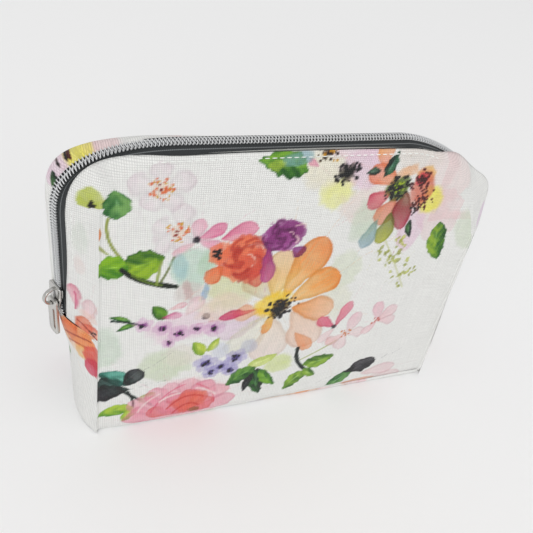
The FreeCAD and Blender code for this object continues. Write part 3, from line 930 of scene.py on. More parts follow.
def left_bouquet() -> list[object]:
    """Pale blossoms, the bud, and the leaves by the left folded edge."""
    twig = (88, 100, 44)
    return pale_blossom((-66, 133), 11.8, 20) + pale_blossom((-58.5, 113.5), 11.4, 80) + [
        Petal((-50.5, 109), (-38.5, 115.5), 6.5, (240, 150, 178), (226, 110, 150), 0.85),
        Petal((-50.5, 109), (-39.5, 104), 6, (244, 190, 206), (228, 130, 164), 0.8),
        Petal((-51, 109), (-50, 119), 6.5, (244, 200, 212), (238, 170, 190), 0.7),
        Petal((-51, 108), (-60, 102), 5, (246, 206, 210), (236, 170, 184), 0.6),
        Wash((-50.8, 109.2), (1.9, 2), 0, INK, 0.9),
        Wash((-91, 127.5), (4.8, 6.2), 0, (186, 198, 92), 0.95, 0.2, 0.5),
        Wash((-90.6, 126), (1.3, 3.2), 4, INK, 0.95, 0.3, 0.6),
        Petal((-90.4, 124), (-88.6, 113), 3.6, (226, 190, 70), (226, 130, 80), 0.85),
        Leaf((-82, 121), (-83, 133.5), 11.5, (128, 172, 104), (52, 104, 60), 0.97, 0.05),
        Stem((-85, 121.5), (-87.5, 113), (-79.5, 102), 1.1, (150, 160, 84)),
        Stem((-89.5, 112.5), (-88, 108), (-85.5, 106), 0.9, (150, 160, 84), 0.7),
        Leaf((-79.5, 98), (-63.5, 102.5), 15, (156, 190, 58), (62, 106, 40), 0.97, 0.05),
        Leaf((-77.5, 98), (-91.5, 99), 12.5, (142, 188, 50), (74, 130, 34), 0.97, 0.05),
        Stem((-80, 97.5), (-74, 90), (-58, 86.5), 2.2, (34, 46, 26), 0.95),
        Stem((-76, 94.5), (-70, 89.5), (-64, 88), 1, (126, 150, 60), 0.8),
        Stem((-66, 88.5), (-65.5, 95), (-64.5, 100), 1.1, (150, 166, 90), 0.85),
        Stem((-65, 88.5), (-61.5, 95), (-59.5, 101.5), 1, twig, 0.7),
        Wash((-51.5, 95), (10, 10.5), 20, (196, 220, 204), 0.85, 0.22, 0.45),
        Wash((-56.5, 96), (4, 8), 10, (160, 198, 204), 0.65, 0.35, 0.2),
        Wash((-45.5, 98), (5, 7), -20, (180, 210, 178), 0.6, 0.35, 0.2),
        Wash((-52, 83), (8, 6), 0, (216, 206, 200), 0.7, 0.35, 0.25),
        Wash((-53, 84.5), (2.4, 6), 12, (196, 150, 150), 0.5, 0.4, 0.2),
        Wash((-45, 82.5), (2, 5), -8, (124, 160, 214), 0.75, 0.35, 0.3),
        Leaf((-62, 69), (-67.5, 77), 6.2, (110, 156, 52), (50, 92, 34), 0.97, 0),
        Petal((-63.5, 70), (-54.5, 71), 4.4, (206, 90, 140), (226, 130, 160), 0.9),
        Petal((-61, 74), (-52.5, 77), 3.4, BLUSH, (232, 150, 168), 0.7),
        Leaf((-76, 69.5), (-85, 73), 2.8, LEAF_GREEN, DEEP_GREEN, 0.95, 0),
        Leaf((-74, 67.5), (-82, 65), 3, LEAF_GREEN, DEEP_GREEN, 0.95, 0),
        Stem((-84, 71), (-76, 69.5), (-70, 66), 0.9, NIGHT_GREEN),
        Wash((-87, 55), (8.5, 13), 0, (206, 222, 204), 0.75, 0.3, 0.3),
        Wash((-60, 40), (13, 11), 0, (208, 220, 190), 0.8, 0.3, 0.35),
        Wash((-52, 46), (10, 8), 0, (232, 226, 214), 0.7, 0.35, 0.3),
        Wash((-54, 64), (17, 8.5), 8, (236, 208, 222), 0.75, 0.35, 0.35),
        Petal((-53, 70), (-46, 80), 8, BLUSH, (240, 190, 202), 0.6, 0.62, 0.14, 1),
    ] + cloud_flowers([((-71, 67), 4), ((-62.5, 64), 4.4), ((-55, 60), 5),
                       ((-59.5, 54.5), 3.2), ((-39, 60.5), 5.4), ((-47, 61.5), 3.8)],
                      (218, 172, 206), (112, 40, 118)) + [
        Wash((-43.5, 68.5), (1.9, 1.9), 0, INK, 0.9, 0.3, 0.5),
        Wash((-43, 71), (4, 4.4), 0, (244, 206, 204), 0.35),
    ]


def middle_bouquet() -> list[object]:
    """The roses and the large peach flower, with the blues and leaves under them."""
    sand, olive = (224, 212, 186), (214, 216, 160)
    orange, glow = (244, 150, 76), (250, 190, 110)
    petals = [
        Wash((-33, 84), (15, 13), 20, olive, 0.7, 0.35, 0.3),
        Wash((-36, 73), (13, 9), 10, (236, 214, 196), 0.7, 0.35, 0.3),
        Wash((20, 86), (10, 12), 0, (222, 228, 206), 0.75, 0.28, 0.4),
        Wash((21, 67), (9, 13), 10, (232, 232, 214), 0.75, 0.28, 0.35),
        Petal((-12, 66), (-38, 57), 17, (230, 206, 214), (226, 200, 222), 0.75, 0.62, 0.14, 0.9),
        Petal((-11, 62), (-31, 42), 20, (238, 232, 214), (226, 226, 206), 0.7, 0.62, 0.14, 0.9),
        Petal((-8, 62), (-12, 33), 22, (240, 218, 196), (236, 214, 206), 0.74, 0.6, 0.14, 0.8),
        Petal((-3, 64), (14, 40), 19, (242, 196, 166), (238, 206, 190), 0.85, 0.6, 0.14, 0.8),
        Petal((3, 50), (13, 36.5), 8, (244, 160, 110), (238, 140, 90), 0.7),
        Petal((-14, 74), (-24, 92), 19, sand, (228, 206, 160), 0.85, 0.6, 0.12, 0.8),
        Petal((-12, 74), (-11, 101), 18, (250, 206, 120), (238, 196, 150), 0.92, 0.6, 0.12, 0.6),
        Petal((-2, 68), (20, 62), 16, orange, (244, 186, 150), 0.9, 0.55, 0.14, 0.8),
        Petal((-8, 74), (7, 106), 17.5, glow, (240, 146, 84), 0.97, 0.64, 0.1),
        Petal((-4, 71), (18, 86), 17.5, glow, orange, 0.97, 0.64, 0.1),
        Petal((-16, 68), (-31, 67), 9, (246, 180, 110), (242, 170, 140), 0.7),
        Wash((-12.5, 70), (10.5, 8), 40, (250, 208, 70), 0.95, 0.3, 0.3),
        Petal((-11, 66), (-14, 52), 5, (250, 200, 70), (242, 150, 80), 0.8),
        Wash((-9, 67.5), (4.6, 5.6), -30, (44, 34, 16), 0.85, 0.45, 0.2),
        Dots((-9, 67.5), 0.3, 6.6, 60, 0.85, INK),
        Dots((-5, 70), 1, 6.2, 26, 0.6, (64, 40, 20)),
    ]
    plum_dark = (110, 40, 96)
    roses = [
        Petal((-41, 108.5), (-25.5, 114), 9, (222, 90, 130), (238, 150, 176), 0.92),
        Wash((-35, 108), (6, 3), 20, (246, 214, 214), 0.6),
        Rose((-29.5, 98), 13.5, (246, 140, 104), (206, 74, 66), 0.95, 0.95),
        Petal((-38, 95), (-45.5, 87.5), 9, (242, 128, 84), (240, 120, 80), 0.92),
        Wash((-41, 101.5), (4.6, 5.4), 0, (242, 130, 96), 0.92, 0.25, 0.5),
        Dots((-41, 101.5), 0, 2.5, 14, 0.75, INK),
        Petal((-24, 99), (-22.5, 82), 8, (226, 110, 90), (214, 84, 76), 0.85),
        Rose((-13.5, 108.5), 10.5, (172, 96, 158), plum_dark, 0.97, 0.82),
        Petal((-19, 104), (-17.5, 84), 7, (150, 60, 130), (196, 100, 150), 0.92),
        Petal((-8, 102), (-2.5, 98), 7, (150, 60, 140), plum_dark, 0.85),
        Petal((-20, 69), (-37.5, 66), 5.4, (228, 110, 100), (212, 74, 120), 0.95),
    ]
    fresh, dusk = (150, 184, 76), (70, 110, 40)
    low = [
        Leaf((-43, 44), (-48, 53), 6.4, (190, 210, 80), (120, 160, 50), 0.9, 0),
        Leaf((-41, 46), (-36, 54), 4.6, (196, 212, 96), (140, 170, 60), 0.9, 0),
        Wash((-2, 29), (9, 7), 10, (208, 222, 140), 0.7, 0.3, 0.3),
        Leaf((-19, 31), (-4, 36), 7, (214, 226, 140), (176, 200, 90), 0.85, 0.02),
        Leaf((-14, 29), (-29, 18.5), 10.5, (110, 156, 70), (38, 84, 34), 0.97, 0.08),
        Leaf((-13, 28), (-10, 8), 9, (66, 120, 56), (16, 44, 24), 0.97, 0.08),
        Leaf((-12, 27), (-2, 13), 7, (130, 176, 60), (60, 110, 40), 0.97, 0.06),
        Leaf((-15, 25), (-19, 12), 4.4, INK, (20, 40, 30), 0.9, 0),
        Stem((7, 38), (6, 29), (13, 22), 2, NIGHT_GREEN, 0.95),
        Stem((10, 29), (20, 34), (28, 40), 0.7, (176, 184, 120), 0.8),
        Leaf((12, 25), (29, 29), 9.6, fresh, dusk, 0.95, 0.06),
        Leaf((15, 20), (4, 7.5), 8.6, fresh, dusk, 0.95, 0.06),
        Leaf((13, 22), (21, 15), 6, fresh, dusk, 0.95, 0.06),
        Leaf((30, 4), (45, 16), 8.4, (110, 156, 92), DEEP_GREEN, 0.95, 0.04),
        Petal((39, 13), (57, 19), 11, INK, (16, 16, 20), 0.97, 0.5, 0.24),
        Petal((50, 10), (72, 11), 10, BLUSH, (238, 200, 206), 0.7, 0.62, 0.14, 0.9),
        Petal((40, 3), (62, 1.5), 8, SALMON, (240, 170, 140), 0.75, 0.62, 0.14, 0.9),
        Petal((54, 5), (78, 4), 8, BLUSH, (238, 190, 196), 0.6, 0.62, 0.14, 0.9),
        Petal((24.5, 50), (13.5, 57), 7.4, (216, 80, 110), (230, 110, 134), 0.9),
        Petal((24.5, 50), (30, 66), 7, (222, 100, 124), (238, 140, 160), 0.88),
        Petal((25, 49), (17, 40), 6.4, BLUSH, (240, 200, 204), 0.6),
        Wash((24, 50), (1.7, 1.6), 0, INK, 0.85),
        Petal((32, 44), (37, 58), 8.4, (246, 226, 226), (238, 190, 200), 0.75),
        Petal((32, 44), (43, 44), 7.6, (246, 226, 226), (240, 204, 208), 0.75),
        Petal((32, 44), (30, 33), 8, (246, 226, 226), (240, 204, 208), 0.75),
        Petal((32, 44), (22, 38), 7, (246, 220, 220), (238, 180, 180), 0.75),
        Dots((32, 44), 0.3, 3, 14, 0.55, (206, 120, 60)),
        Petal((48.5, 50), (46, 63), 7, (244, 206, 212), (238, 186, 198), 0.75),
        Petal((48.5, 50), (58, 59), 8, (242, 186, 192), (240, 208, 212), 0.75),
        Petal((48.5, 50), (60, 49), 6.4, (242, 190, 196), (238, 200, 206), 0.7),
        Petal((48.5, 50), (42, 42), 6, (242, 180, 190), (242, 206, 210), 0.7),
        Dots((48, 50), 0.2, 2.4, 12, 0.55, (196, 90, 70)),
    ]
    blues = [Wash((-34, 45), (5, 6), 0, (206, 210, 226), 0.7),
             Wash((-20, 45), (4.6, 5.6), 20, (190, 192, 212), 0.7)]
    blues += cloud_flowers([((-41, 38), 5.4), ((-33, 34), 4.6), ((-26, 38.5), 5.8),
                            ((-38, 31), 4.2), ((-28, 30.5), 4.4)],
                           (158, 150, 204), (46, 34, 92))
    return petals + roses + low + blues


def lower_left_bouquet() -> list[object]:
    """Teal leaves by the folded edge and the large peony that the foot seam cuts."""
    pink, rosy, coral = (246, 196, 204), (236, 132, 156), (228, 96, 92)
    found: list[object] = [
        Leaf((-76, 31), (-90, 41), 9, (110, 178, 160), (30, 84, 72), 0.95, 0.02),
        Petal((-80, 31), (-70, 38.5), 10, NIGHT_GREEN, INK, 0.97, 0.6, 0.2),
        Petal((-76, 28), (-93, 26), 12, NIGHT_GREEN, INK, 0.97, 0.6, 0.2),
        Petal((-78, 32), (-92, 34), 8, TEAL, NIGHT_GREEN, 0.9, 0.6, 0.2),
        Stem((-82, 30), (-76, 22), (-66, 14.5), 1.4, NIGHT_GREEN),
        Stem((-77, 26), (-73, 17), (-75, 13), 1, NIGHT_GREEN),
        Leaf((-74, 14), (-91, 12), 8, (176, 204, 70), (96, 150, 50), 0.95, 0.05),
        Leaf((-73, 13), (-80, 5), 6, (176, 204, 70), (96, 150, 50), 0.9, 0.05),
        Leaf((-72, 17), (-64, 23), 7, (216, 208, 170), OLIVE, 0.7, 0.05),
        Wash((-52, 12), (27, 17), 8, pink, 0.75, 0.25, 0.4),
    ]
    for turn, reach, wide, inner, outer in (
            (172, 30, 13, pink, rosy), (150, 31, 13, pink, (240, 160, 176)),
            (126, 28, 14, pink, rosy), (104, 27, 13, pink, (242, 170, 186)),
            (82, 27, 13, rosy, (242, 180, 190)), (60, 27, 13, pink, rosy),
            (38, 28, 12, pink, (240, 170, 182)), (14, 28, 11, pink, rosy),
            (160, 19, 9, rosy, coral), (134, 18, 10, rosy, (240, 150, 160)),
            (108, 19, 9, coral, rosy), (80, 19, 10, rosy, coral),
            (54, 19, 9, coral, (240, 140, 120)), (28, 18, 9, rosy, coral)):
        angle = math.radians(turn)
        tip = (-50 + reach * math.cos(angle), 3 + reach * 0.96 * math.sin(angle))
        found.append(Petal((-50, 3), tip, wide, inner, outer, 0.68, 0.68, 0.24, 0.6))
    found += [
        Wash((-47, 12), (10, 8), 10, (236, 118, 96), 0.8, 0.35, 0.3),
        Stem((-58, 9), (-50, 20), (-40, 14), 1, (206, 70, 70), 0.6),
        Stem((-55, 5), (-48, 14), (-42, 8), 0.9, (200, 64, 64), 0.55),
        Stem((-66, 8), (-60, 22), (-50, 25), 0.8, (224, 90, 120), 0.5),
        Stem((-34, 8), (-34, 18), (-44, 24), 0.8, (224, 90, 110), 0.5),
        Stem((-62, 15), (-58, 19), (-52, 19), 1.1, (252, 236, 232), 0.7),
        Stem((-44, 21), (-38, 19), (-34, 14), 1.1, (252, 236, 232), 0.7),
        Stem((-72, 10), (-70, 16), (-62, 21), 0.9, (252, 236, 232), 0.6),
        Wash((-44, 5), (3.4, 2), 0, (120, 90, 40), 0.7, 0.3, 0.4),
    ]
    return found


def right_bouquet() -> list[object]:
    """The crowded flowers under the right shoulder, with the fern below them."""
    shell, rose = (240, 216, 214), (236, 196, 198)
    flowers: list[object] = [
        Wash((7, 128), (9, 9), 0, (240, 240, 150), 0.8, 0.3, 0.3),
        Wash((22, 121), (13, 12), 0, (238, 222, 214), 0.75, 0.35, 0.3),
        Wash((25, 112), (9, 13), 10, (208, 220, 200), 0.8, 0.35, 0.25),
        Wash((-1, 139), (11, 10), 0, (240, 232, 206), 0.75, 0.3, 0.3),
        Wash((18, 139), (12, 11), 0, (232, 196, 216), 0.75, 0.35, 0.3),
        Wash((10, 148), (14, 6), 0, (236, 206, 218), 0.7, 0.3, 0.3),
        Wash((60, 132), (17, 14), -20, shell, 0.62, 0.16, 0.4),
        Wash((76, 127), (11.5, 12), 0, (236, 208, 208), 0.62, 0.12, 0.9),
        Wash((64, 112), (12, 13), 20, rose, 0.42, 0.25, 0.6),
        Wash((50, 106), (7, 13), 0, (232, 200, 218), 0.75, 0.25, 0.4),
        Wash((43, 144), (14, 9), 0, (232, 222, 214), 0.7, 0.3, 0.3),
        Petal((27, 138), (24, 150), 9, SALMON, (244, 170, 110), 0.85),
        Petal((35, 131), (20, 138), 11, (244, 150, 110), (240, 130, 96), 0.92),
        Petal((34, 127), (23, 120), 9, (226, 110, 110), (206, 80, 100), 0.85),
        Petal((37, 124), (31, 110), 10, (232, 120, 96), (226, 150, 120), 0.85),
        Petal((40, 127), (43.5, 106), 11, (120, 60, 40), (180, 64, 84), 0.95, 0.55),
        Leaf((27, 134), (31, 146), 6, (70, 120, 92), NIGHT_GREEN, 0.95, 0.1),
        Leaf((25, 137), (18, 136), 4, (70, 110, 92), NIGHT_GREEN, 0.9, 0.1),
        Wash((9.5, 137), (4, 4.6), 0, (40, 40, 30), 0.8, 0.5, 0.2),
        Dots((9.5, 137), 0, 5.6, 48, 0.8, INK),
        Dots((-1, 146.5), 0.3, 5, 30, 0.7, (60, 40, 20)),
        Dots((0, 147), 0.3, 6, 10, 0.7, (206, 150, 50)),
        Petal((-4, 140), (-9, 143), 3.4, (238, 150, 180), (232, 130, 160), 0.8),
        Wash((38.5, 136), (6, 3.4), 20, (240, 170, 120), 0.7),
        Wash((36, 128), (6.4, 6.2), 0, (84, 104, 40), 0.92, 0.3, 0.35),
        Dots((36, 128), 0, 6.6, 66, 0.8, (20, 26, 18)),
        Dots((36.5, 129), 0.4, 4.4, 12, 0.6, (170, 190, 60)),
        Wash((55.5, 121), (6.8, 9), 20, (244, 238, 92), 0.9, 0.3, 0.25),
        Wash((48.5, 134), (5.4, 5), 0, (244, 180, 90), 0.75, 0.3, 0.3),
        Wash((49, 127), (6.2, 10.5), 12, (214, 116, 96), 0.9, 0.3, 0.35),
        Wash((47, 132), (3.6, 3.4), 0, (206, 60, 90), 0.75, 0.3, 0.3),
        Dots((47, 131.5), 0.3, 6, 46, 0.7, (86, 22, 34)),
        Dots((51.5, 122), 0.3, 6.2, 44, 0.7, (92, 34, 34)),
        Dots((50, 117), 0.3, 4.4, 16, 0.6, (40, 24, 20)),
        Leaf((-8, 138), (-30, 143.5), 12.5, (130, 176, 70), (46, 96, 44), 0.97, 0.08),
        Wash((-14, 143.5), (8, 3.6), 10, (130, 170, 182), 0.8, 0.3, 0.3),
        Wash((-22, 141), (4, 3), 0, (190, 206, 90), 0.7, 0.3, 0.3),
        Petal((37, 116), (35, 99.5), 10.5, (108, 116, 50), (172, 176, 70), 0.92, 0.55),
        Petal((31, 113), (26, 98), 9, (140, 168, 150), (150, 178, 190), 0.85, 0.6, 0.2, 0.8),
        Leaf((48, 111), (51, 101), 3.6, (70, 110, 60), NIGHT_GREEN, 0.95, 0),
        Leaf((66, 108), (73, 85), 11, (150, 182, 52), (40, 92, 36), 0.97, 0.04),
        Wash((84, 103), (8, 14), 20, (216, 226, 204), 0.75, 0.25, 0.35),
    ]
    fern: list[object] = [Stem((38, 101), (47, 88), (57, 71), 0.6,
                               (186, 192, 110), 0.5)]
    dice = np.random.RandomState(41)
    greens = ((170, 176, 70), (206, 212, 120), (132, 140, 60))
    for index in range(46):
        share = dice.uniform(0, 1)
        spread = dice.uniform(-1, 1) * (6.5 - 2 * share)
        x = 40 + 19 * share + spread
        z = 97 - 24 * share + 0.5 * spread + dice.uniform(-2, 2)
        tip = (x + dice.uniform(-2, 2.6), z + dice.uniform(1.2, 3.6))
        fern.append(Petal((x, z), tip, dice.uniform(1.2, 2.3), greens[index % 3],
                          greens[(index + 1) % 3], 0.8, 0.6, 0.1, 0.35))
    return flowers + fern


def all_bouquets() -> list[object]:
    """Every mark of the front's print, in the order it is painted."""
    return left_bouquet() + lower_left_bouquet() + middle_bouquet() + right_bouquet()


def left_strip() -> list[object]:
    """The print on the strip between the left folded edge and the zip."""
    return [
        Petal((-96.5, 72), (-98.5, 86), 5, (246, 206, 210), (228, 130, 152), 0.75),
        Petal((-94, 68), (-91.5, 82), 6, (248, 222, 222), (238, 184, 192), 0.7),
        Stem((-97.5, 72), (-96.5, 77), (-97.5, 82), 0.6, (206, 70, 110), 0.7),
        Wash((-93, 72), (3.6, 3), 0, (244, 210, 200), 0.7),
        Petal((-97.5, 58), (-93, 70.5), 6.5, CORAL, (232, 120, 84), 0.9),
        Petal((-94, 58), (-89.5, 68), 7.5, SALMON, (226, 104, 84), 0.9),
        Stem((-97, 66), (-94, 65.5), (-90, 62), 0.7, (150, 50, 40), 0.75),
        Dots((-91.5, 64), 0.2, 1.6, 6, 0.5, INK),
        Wash((-95, 112), (3.5, 8), 0, SAGE, 0.3),
        Wash((-95.5, 98), (2.4, 5), 0, (240, 220, 216), 0.5),
    ]


def right_strip() -> list[object]:
    """The print on the strip between the right folded edge and the zip."""
    return [
        Leaf((93, 96), (96, 78), 6, LEAF_GREEN, DEEP_GREEN),
        Petal((94, 74), (97, 64), 7, BLUSH, ROSE_PINK, 0.8),
        Wash((94, 106), (4, 8), 0, LILAC, 0.5),
    ]


def gusset_marks(sign: float) -> list[object]:
    """The print on one lower side; the marks stand at depth and height.

    Args:
        sign: -1 for the left side, 1 for the right.

    Returns:
        The marks, in painting order.
    """
    if sign < 0:
        return [
            Wash((-8, 54), (10, 9), 0, (246, 196, 160), 0.7),
            Wash((-11, 57), (8.5, 6.5), 20, (240, 140, 84), 0.9, 0.2, 0.6),
            Petal((-8, 50), (-8, 64), 8, SALMON, (234, 120, 80), 0.9),
            Petal((-7, 47), (1, 60), 9, (248, 190, 150), CORAL, 0.85),
            Stem((-17, 58), (-10, 57), (-3, 52), 0.7, (140, 40, 36), 0.75),
            Stem((-16, 53), (-11, 52), (-6, 49), 0.6, (140, 40, 36), 0.7),
            Wash((-13.5, 48), (4, 5), 10, (240, 170, 90), 0.7, 0.3, 0.3),
            Wash((-19.5, 49.5), (5.2, 6.6), 0, (222, 96, 84), 0.92, 0.2, 0.6),
            Wash((-20, 43), (4.8, 5.2), 0, (206, 62, 86), 0.92, 0.2, 0.6),
            Leaf((-4, 40), (10, 30), 7, LEAF_GREEN, DEEP_GREEN),
            Bloom((12, 48), 8, 5, BLUSH, ROSE_PINK, AMBER, 0.25, 30, 0.85,
                  stamen=PLUM, stamens=8),
            Stem((2, 30), (6, 18), (2, 4), 1, NIGHT_GREEN),
            Leaf((4, 16), (15, 22), 6, LIME, LEAF_GREEN),
            Rose((14, 12), 8, (244, 200, 214), (196, 90, 140)),
        ]
    return [
        Rose((-8, 46), 10, (248, 180, 150), (222, 86, 80)),
        Leaf((0, 38), (14, 34), 7, LEAF_GREEN, DEEP_GREEN),
        Bloom((12, 52), 7, 5, LILAC, VIOLET, AMBER, 0.25, 10, 0.8,
              stamen=INK, stamens=8),
        Stem((-2, 36), (2, 20), (-4, 4), 1, NIGHT_GREEN),
        Petal((-12, 18), (-20, 28), 9, BLUSH, ROSE_PINK, 0.8),
        Petal((-12, 16), (-4, 8), 9, PEACH, CORAL, 0.8),
        Leaf((6, 20), (16, 12), 7, LIME, LEAF_GREEN),
    ]


def shifted(marks: Sequence[object], dx: float, dz: float) -> list[object]:
    """The same marks painted elsewhere, as the roll of cloth repeats them.

    Args:
        marks: Marks to repeat.
        dx: Shift across.
        dz: Shift up.

    Returns:
        The moved marks.
    """
    moved = []
    for mark in marks:
        values = dict(vars(mark))
        for key in ("base", "tip", "centre", "start", "bend", "end"):
            if key in values:
                values[key] = (values[key][0] + dx, values[key][1] + dz)
        moved.append(type(mark)(**values))
    return moved


@dataclass
class PrintSheet:
    """What is printed on one piece of canvas.

    The marks of the main area and those of the two side strips are kept apart, because the
    pinched seams break the print.
    """

    marks: Sequence[object]
    left_strip: Sequence[object] = ()
    right_strip: Sequence[object] = ()
    seed: int = 5
    body: float = 0.28

    def colours(self, x: Array, z: Array, across: Array) -> Array:
        """Linear colour of the print at each point.

        Args:
            x: Position across the piece.
            z: Height.
            across: Where the point lies: over 1 it is on the right strip, and under -1 on
                the left one.

        Returns:
            One linear colour for each point.
        """
        shown = np.tile(np.array(WHITE, float), (len(x), 1))
        ripple = Ripple(self.seed)
        bound = 1.0 + 1e-6
        above = z > FORM.crease_end - 3.0
        zones = (((np.abs(across) <= bound) | above, self.marks),
                 ((across < -bound) & ~above, self.left_strip),
                 ((across > bound) & ~above, self.right_strip))
        for inside, marks in zones:
            chosen = np.nonzero(inside)[0]
            wet = Wet(x[chosen], z[chosen], shown[chosen], ripple)
            for mark in marks:
                mark.paint(wet)
            shown[chosen] = wet.colour
        paint = (np.array(WHITE, float) - shown) / 255.0
        deep = shown - 255.0 * self.body * paint * np.abs(paint)
        return linear_rgb(np.clip(deep, 0.0, 255.0))


# ------------------------------------------------------------------ the bag's form


@dataclass(frozen=True)
class Shoulder:
    """One upper corner of the bag: a superellipse quarter."""

    reach: float
    drop: float
    fullness: float


@dataclass(frozen=True)
class BagForm:
    """Driving sizes of the soft box; the frame's origin is the middle of its base."""

    half_base: float = 25.7
    lean: float = 0.1095
    leg: float = 103.0
    ridge_top: float = 145.0
    zip_start: float = 62.0
    crease_end: float = 129.0
    crown_rise: float = 1.4
    right_lean: float = 3.6
    tilt: float = math.radians(26.565)
    left: Shoulder = Shoulder(45.0, 30.0, 2.5)
    right: Shoulder = Shoulder(64.0, 50.0, 1.62)

    def shoulder(self, left_side: Array) -> tuple[Array, Array, Array, Array, Array]:
        """Corner data for points on the left (True) or right (False).

        Args:
            left_side: Whether each point is left of the middle.

        Returns:
            Distance of the corner's centre from the middle, its height, its reach, its
            drop and its fullness, one value for each point.
        """
        pick = np.where
        reach = pick(left_side, self.left.reach, self.right.reach)
        drop = pick(left_side, self.left.drop, self.right.drop)
        fullness = pick(left_side, self.left.fullness, self.right.fullness)
        return self.leg - reach, self.ridge_top - drop, reach, drop, fullness

    def crown(self, points: Array) -> Array:
        """Raise the middle of the bag's top a little, as the zip's stiffness does."""
        share = np.clip((points[:, 0] + 4.0) / 96.0, -1.0, 1.0)
        raised = points.copy()
        raised[:, 0] -= (self.right_lean * smooth_step(points[:, 2], 12.0, 116.0)
                         * smooth_step(points[:, 0], 66.0, 100.0))
        raised[:, 2] += (self.crown_rise * np.cos(share * math.pi / 2.0) ** 2
                         * smooth_step(points[:, 2], 90.0, 145.0))
        return raised


FORM = BagForm()


@dataclass(frozen=True)
class Stations:
    """Places along the zip, evenly spaced, with the directions of the zip there."""

    centre: Array
    ahead: Array
    outward: Array
    frontward: Array
    run: Array
    sideways: Array


def ridge_stations(step: float, low: float) -> Stations:
    """Walk the zip from the left end, over the top, to the right end.

    Args:
        step: Distance between stations.
        low: Height at which both ends lie.

    Returns:
        The stations.
    """
    def quarter(shape: Shoulder, sign: float) -> Array:
        angle = np.linspace(0.0, math.pi / 2.0, 240)
        across = np.cos(angle) ** (2.0 / shape.fullness) * shape.reach
        up = np.sin(angle) ** (2.0 / shape.fullness) * shape.drop
        x = sign * (FORM.leg - shape.reach + across)
        return np.stack([x, np.zeros_like(x), FORM.ridge_top - shape.drop + up], axis=1)

    left = quarter(FORM.left, -1.0)
    right = quarter(FORM.right, 1.0)[::-1]
    first = np.array([[-FORM.leg, 0.0, low]])
    last = np.array([[FORM.leg, 0.0, low]])
    corners = FORM.crown(np.concatenate([first, left, right, last]))
    gaps = np.linalg.norm(np.diff(corners, axis=0), axis=1)
    travelled = np.concatenate([[0.0], np.cumsum(gaps)])
    run = np.arange(0.0, travelled[-1], step)
    centre = np.stack([np.interp(run, travelled, corners[:, axis]) for axis in range(3)], axis=1)
    wide = max(1, int(round(2.0 / step)))
    padded = np.concatenate([centre[:1].repeat(wide, 0), centre, centre[-1:].repeat(wide, 0)])
    padded[:wide, 2] -= step * np.arange(wide, 0, -1)
    padded[-wide:, 2] -= step * np.arange(1, wide + 1)
    ahead = padded[2 * wide:] - padded[:-2 * wide]
    ahead /= np.linalg.norm(ahead, axis=1)[:, None]
    flat_out = np.stack([-ahead[:, 2], np.zeros(len(ahead)), ahead[:, 0]], axis=1)
    sideways = flat_out[:, 0] ** 2
    tilt = (FORM.tilt * sideways)[:, None]
    toward_front = np.array([0.0, -1.0, 0.0])
    outward = np.cos(tilt) * flat_out + np.sin(tilt) * toward_front
    frontward = -np.sin(tilt) * flat_out + np.cos(tilt) * toward_front
    return Stations(centre, ahead, outward, frontward, run, sideways)


@dataclass(frozen=True)
class ZipBand:
    """How the tape lies beside the coil, on the front or on the back half."""

    side: Side
    knee: float = 2.4
    leg_width: float = 6.3
    top_width: float = 7.1
    sink: float = 0.3
    foot_narrow: float = 2.8
    front_tilt: float = math.radians(22.0)
    back_tilt: float = math.radians(-30.0)

    def place(self, stations: Stations, offset: float, lift: float) -> Array:
        """Points on the tape at one distance from the coil's centre line.

        Args:
            stations: Places along the zip.
            offset: Share across the tape: up to the knee in millimetres, and from there 0
                to 1 up to the edge that the cloth covers.
            lift: Height above the tape.

        Returns:
            One point for each station.
        """
        sign = 1.0 if self.side is Side.FRONT else -1.0
        base = stations.centre - self.sink * stations.outward
        if offset <= self.knee:
            return base + sign * offset * stations.frontward + lift * stations.outward
        tilt = (self.front_tilt if self.side is Side.FRONT else self.back_tilt)
        angle = (tilt * stations.sideways)[:, None]
        flat_out = np.stack([-stations.ahead[:, 2], np.zeros(len(stations.ahead)),
                             stations.ahead[:, 0]], axis=1)
        toward_front = np.array([0.0, -1.0, 0.0])
        across = -np.sin(angle) * flat_out + np.cos(angle) * toward_front
        upward = np.cos(angle) * flat_out + np.sin(angle) * toward_front
        width = self.top_width + (self.leg_width - self.top_width) * stations.sideways
        dip = 4.0 * stations.sideways * (1.0 - stations.sideways)
        if self.side is Side.FRONT:
            narrow = dip * (stations.centre[:, 0] < 0.0)
            low = 1.0 - smooth_step(stations.centre[:, 2], FORM.zip_start, 106.0)
            hidden = smooth_step(stations.centre[:, 0], 44.0, 66.0)
            width = width * (1.0 - 0.82 * narrow) * (1.0 - 0.72 * hidden) - self.foot_narrow * low
            width = np.maximum(width, 1.2)
            narrow = narrow + 1.4 * hidden
            base = base - 0.5 * (offset - self.knee) * narrow[:, None] * stations.outward
        beyond = ((offset - self.knee) * width)[:, None]
        return (base + sign * self.knee * stations.frontward + sign * beyond * across
                + lift * upward)


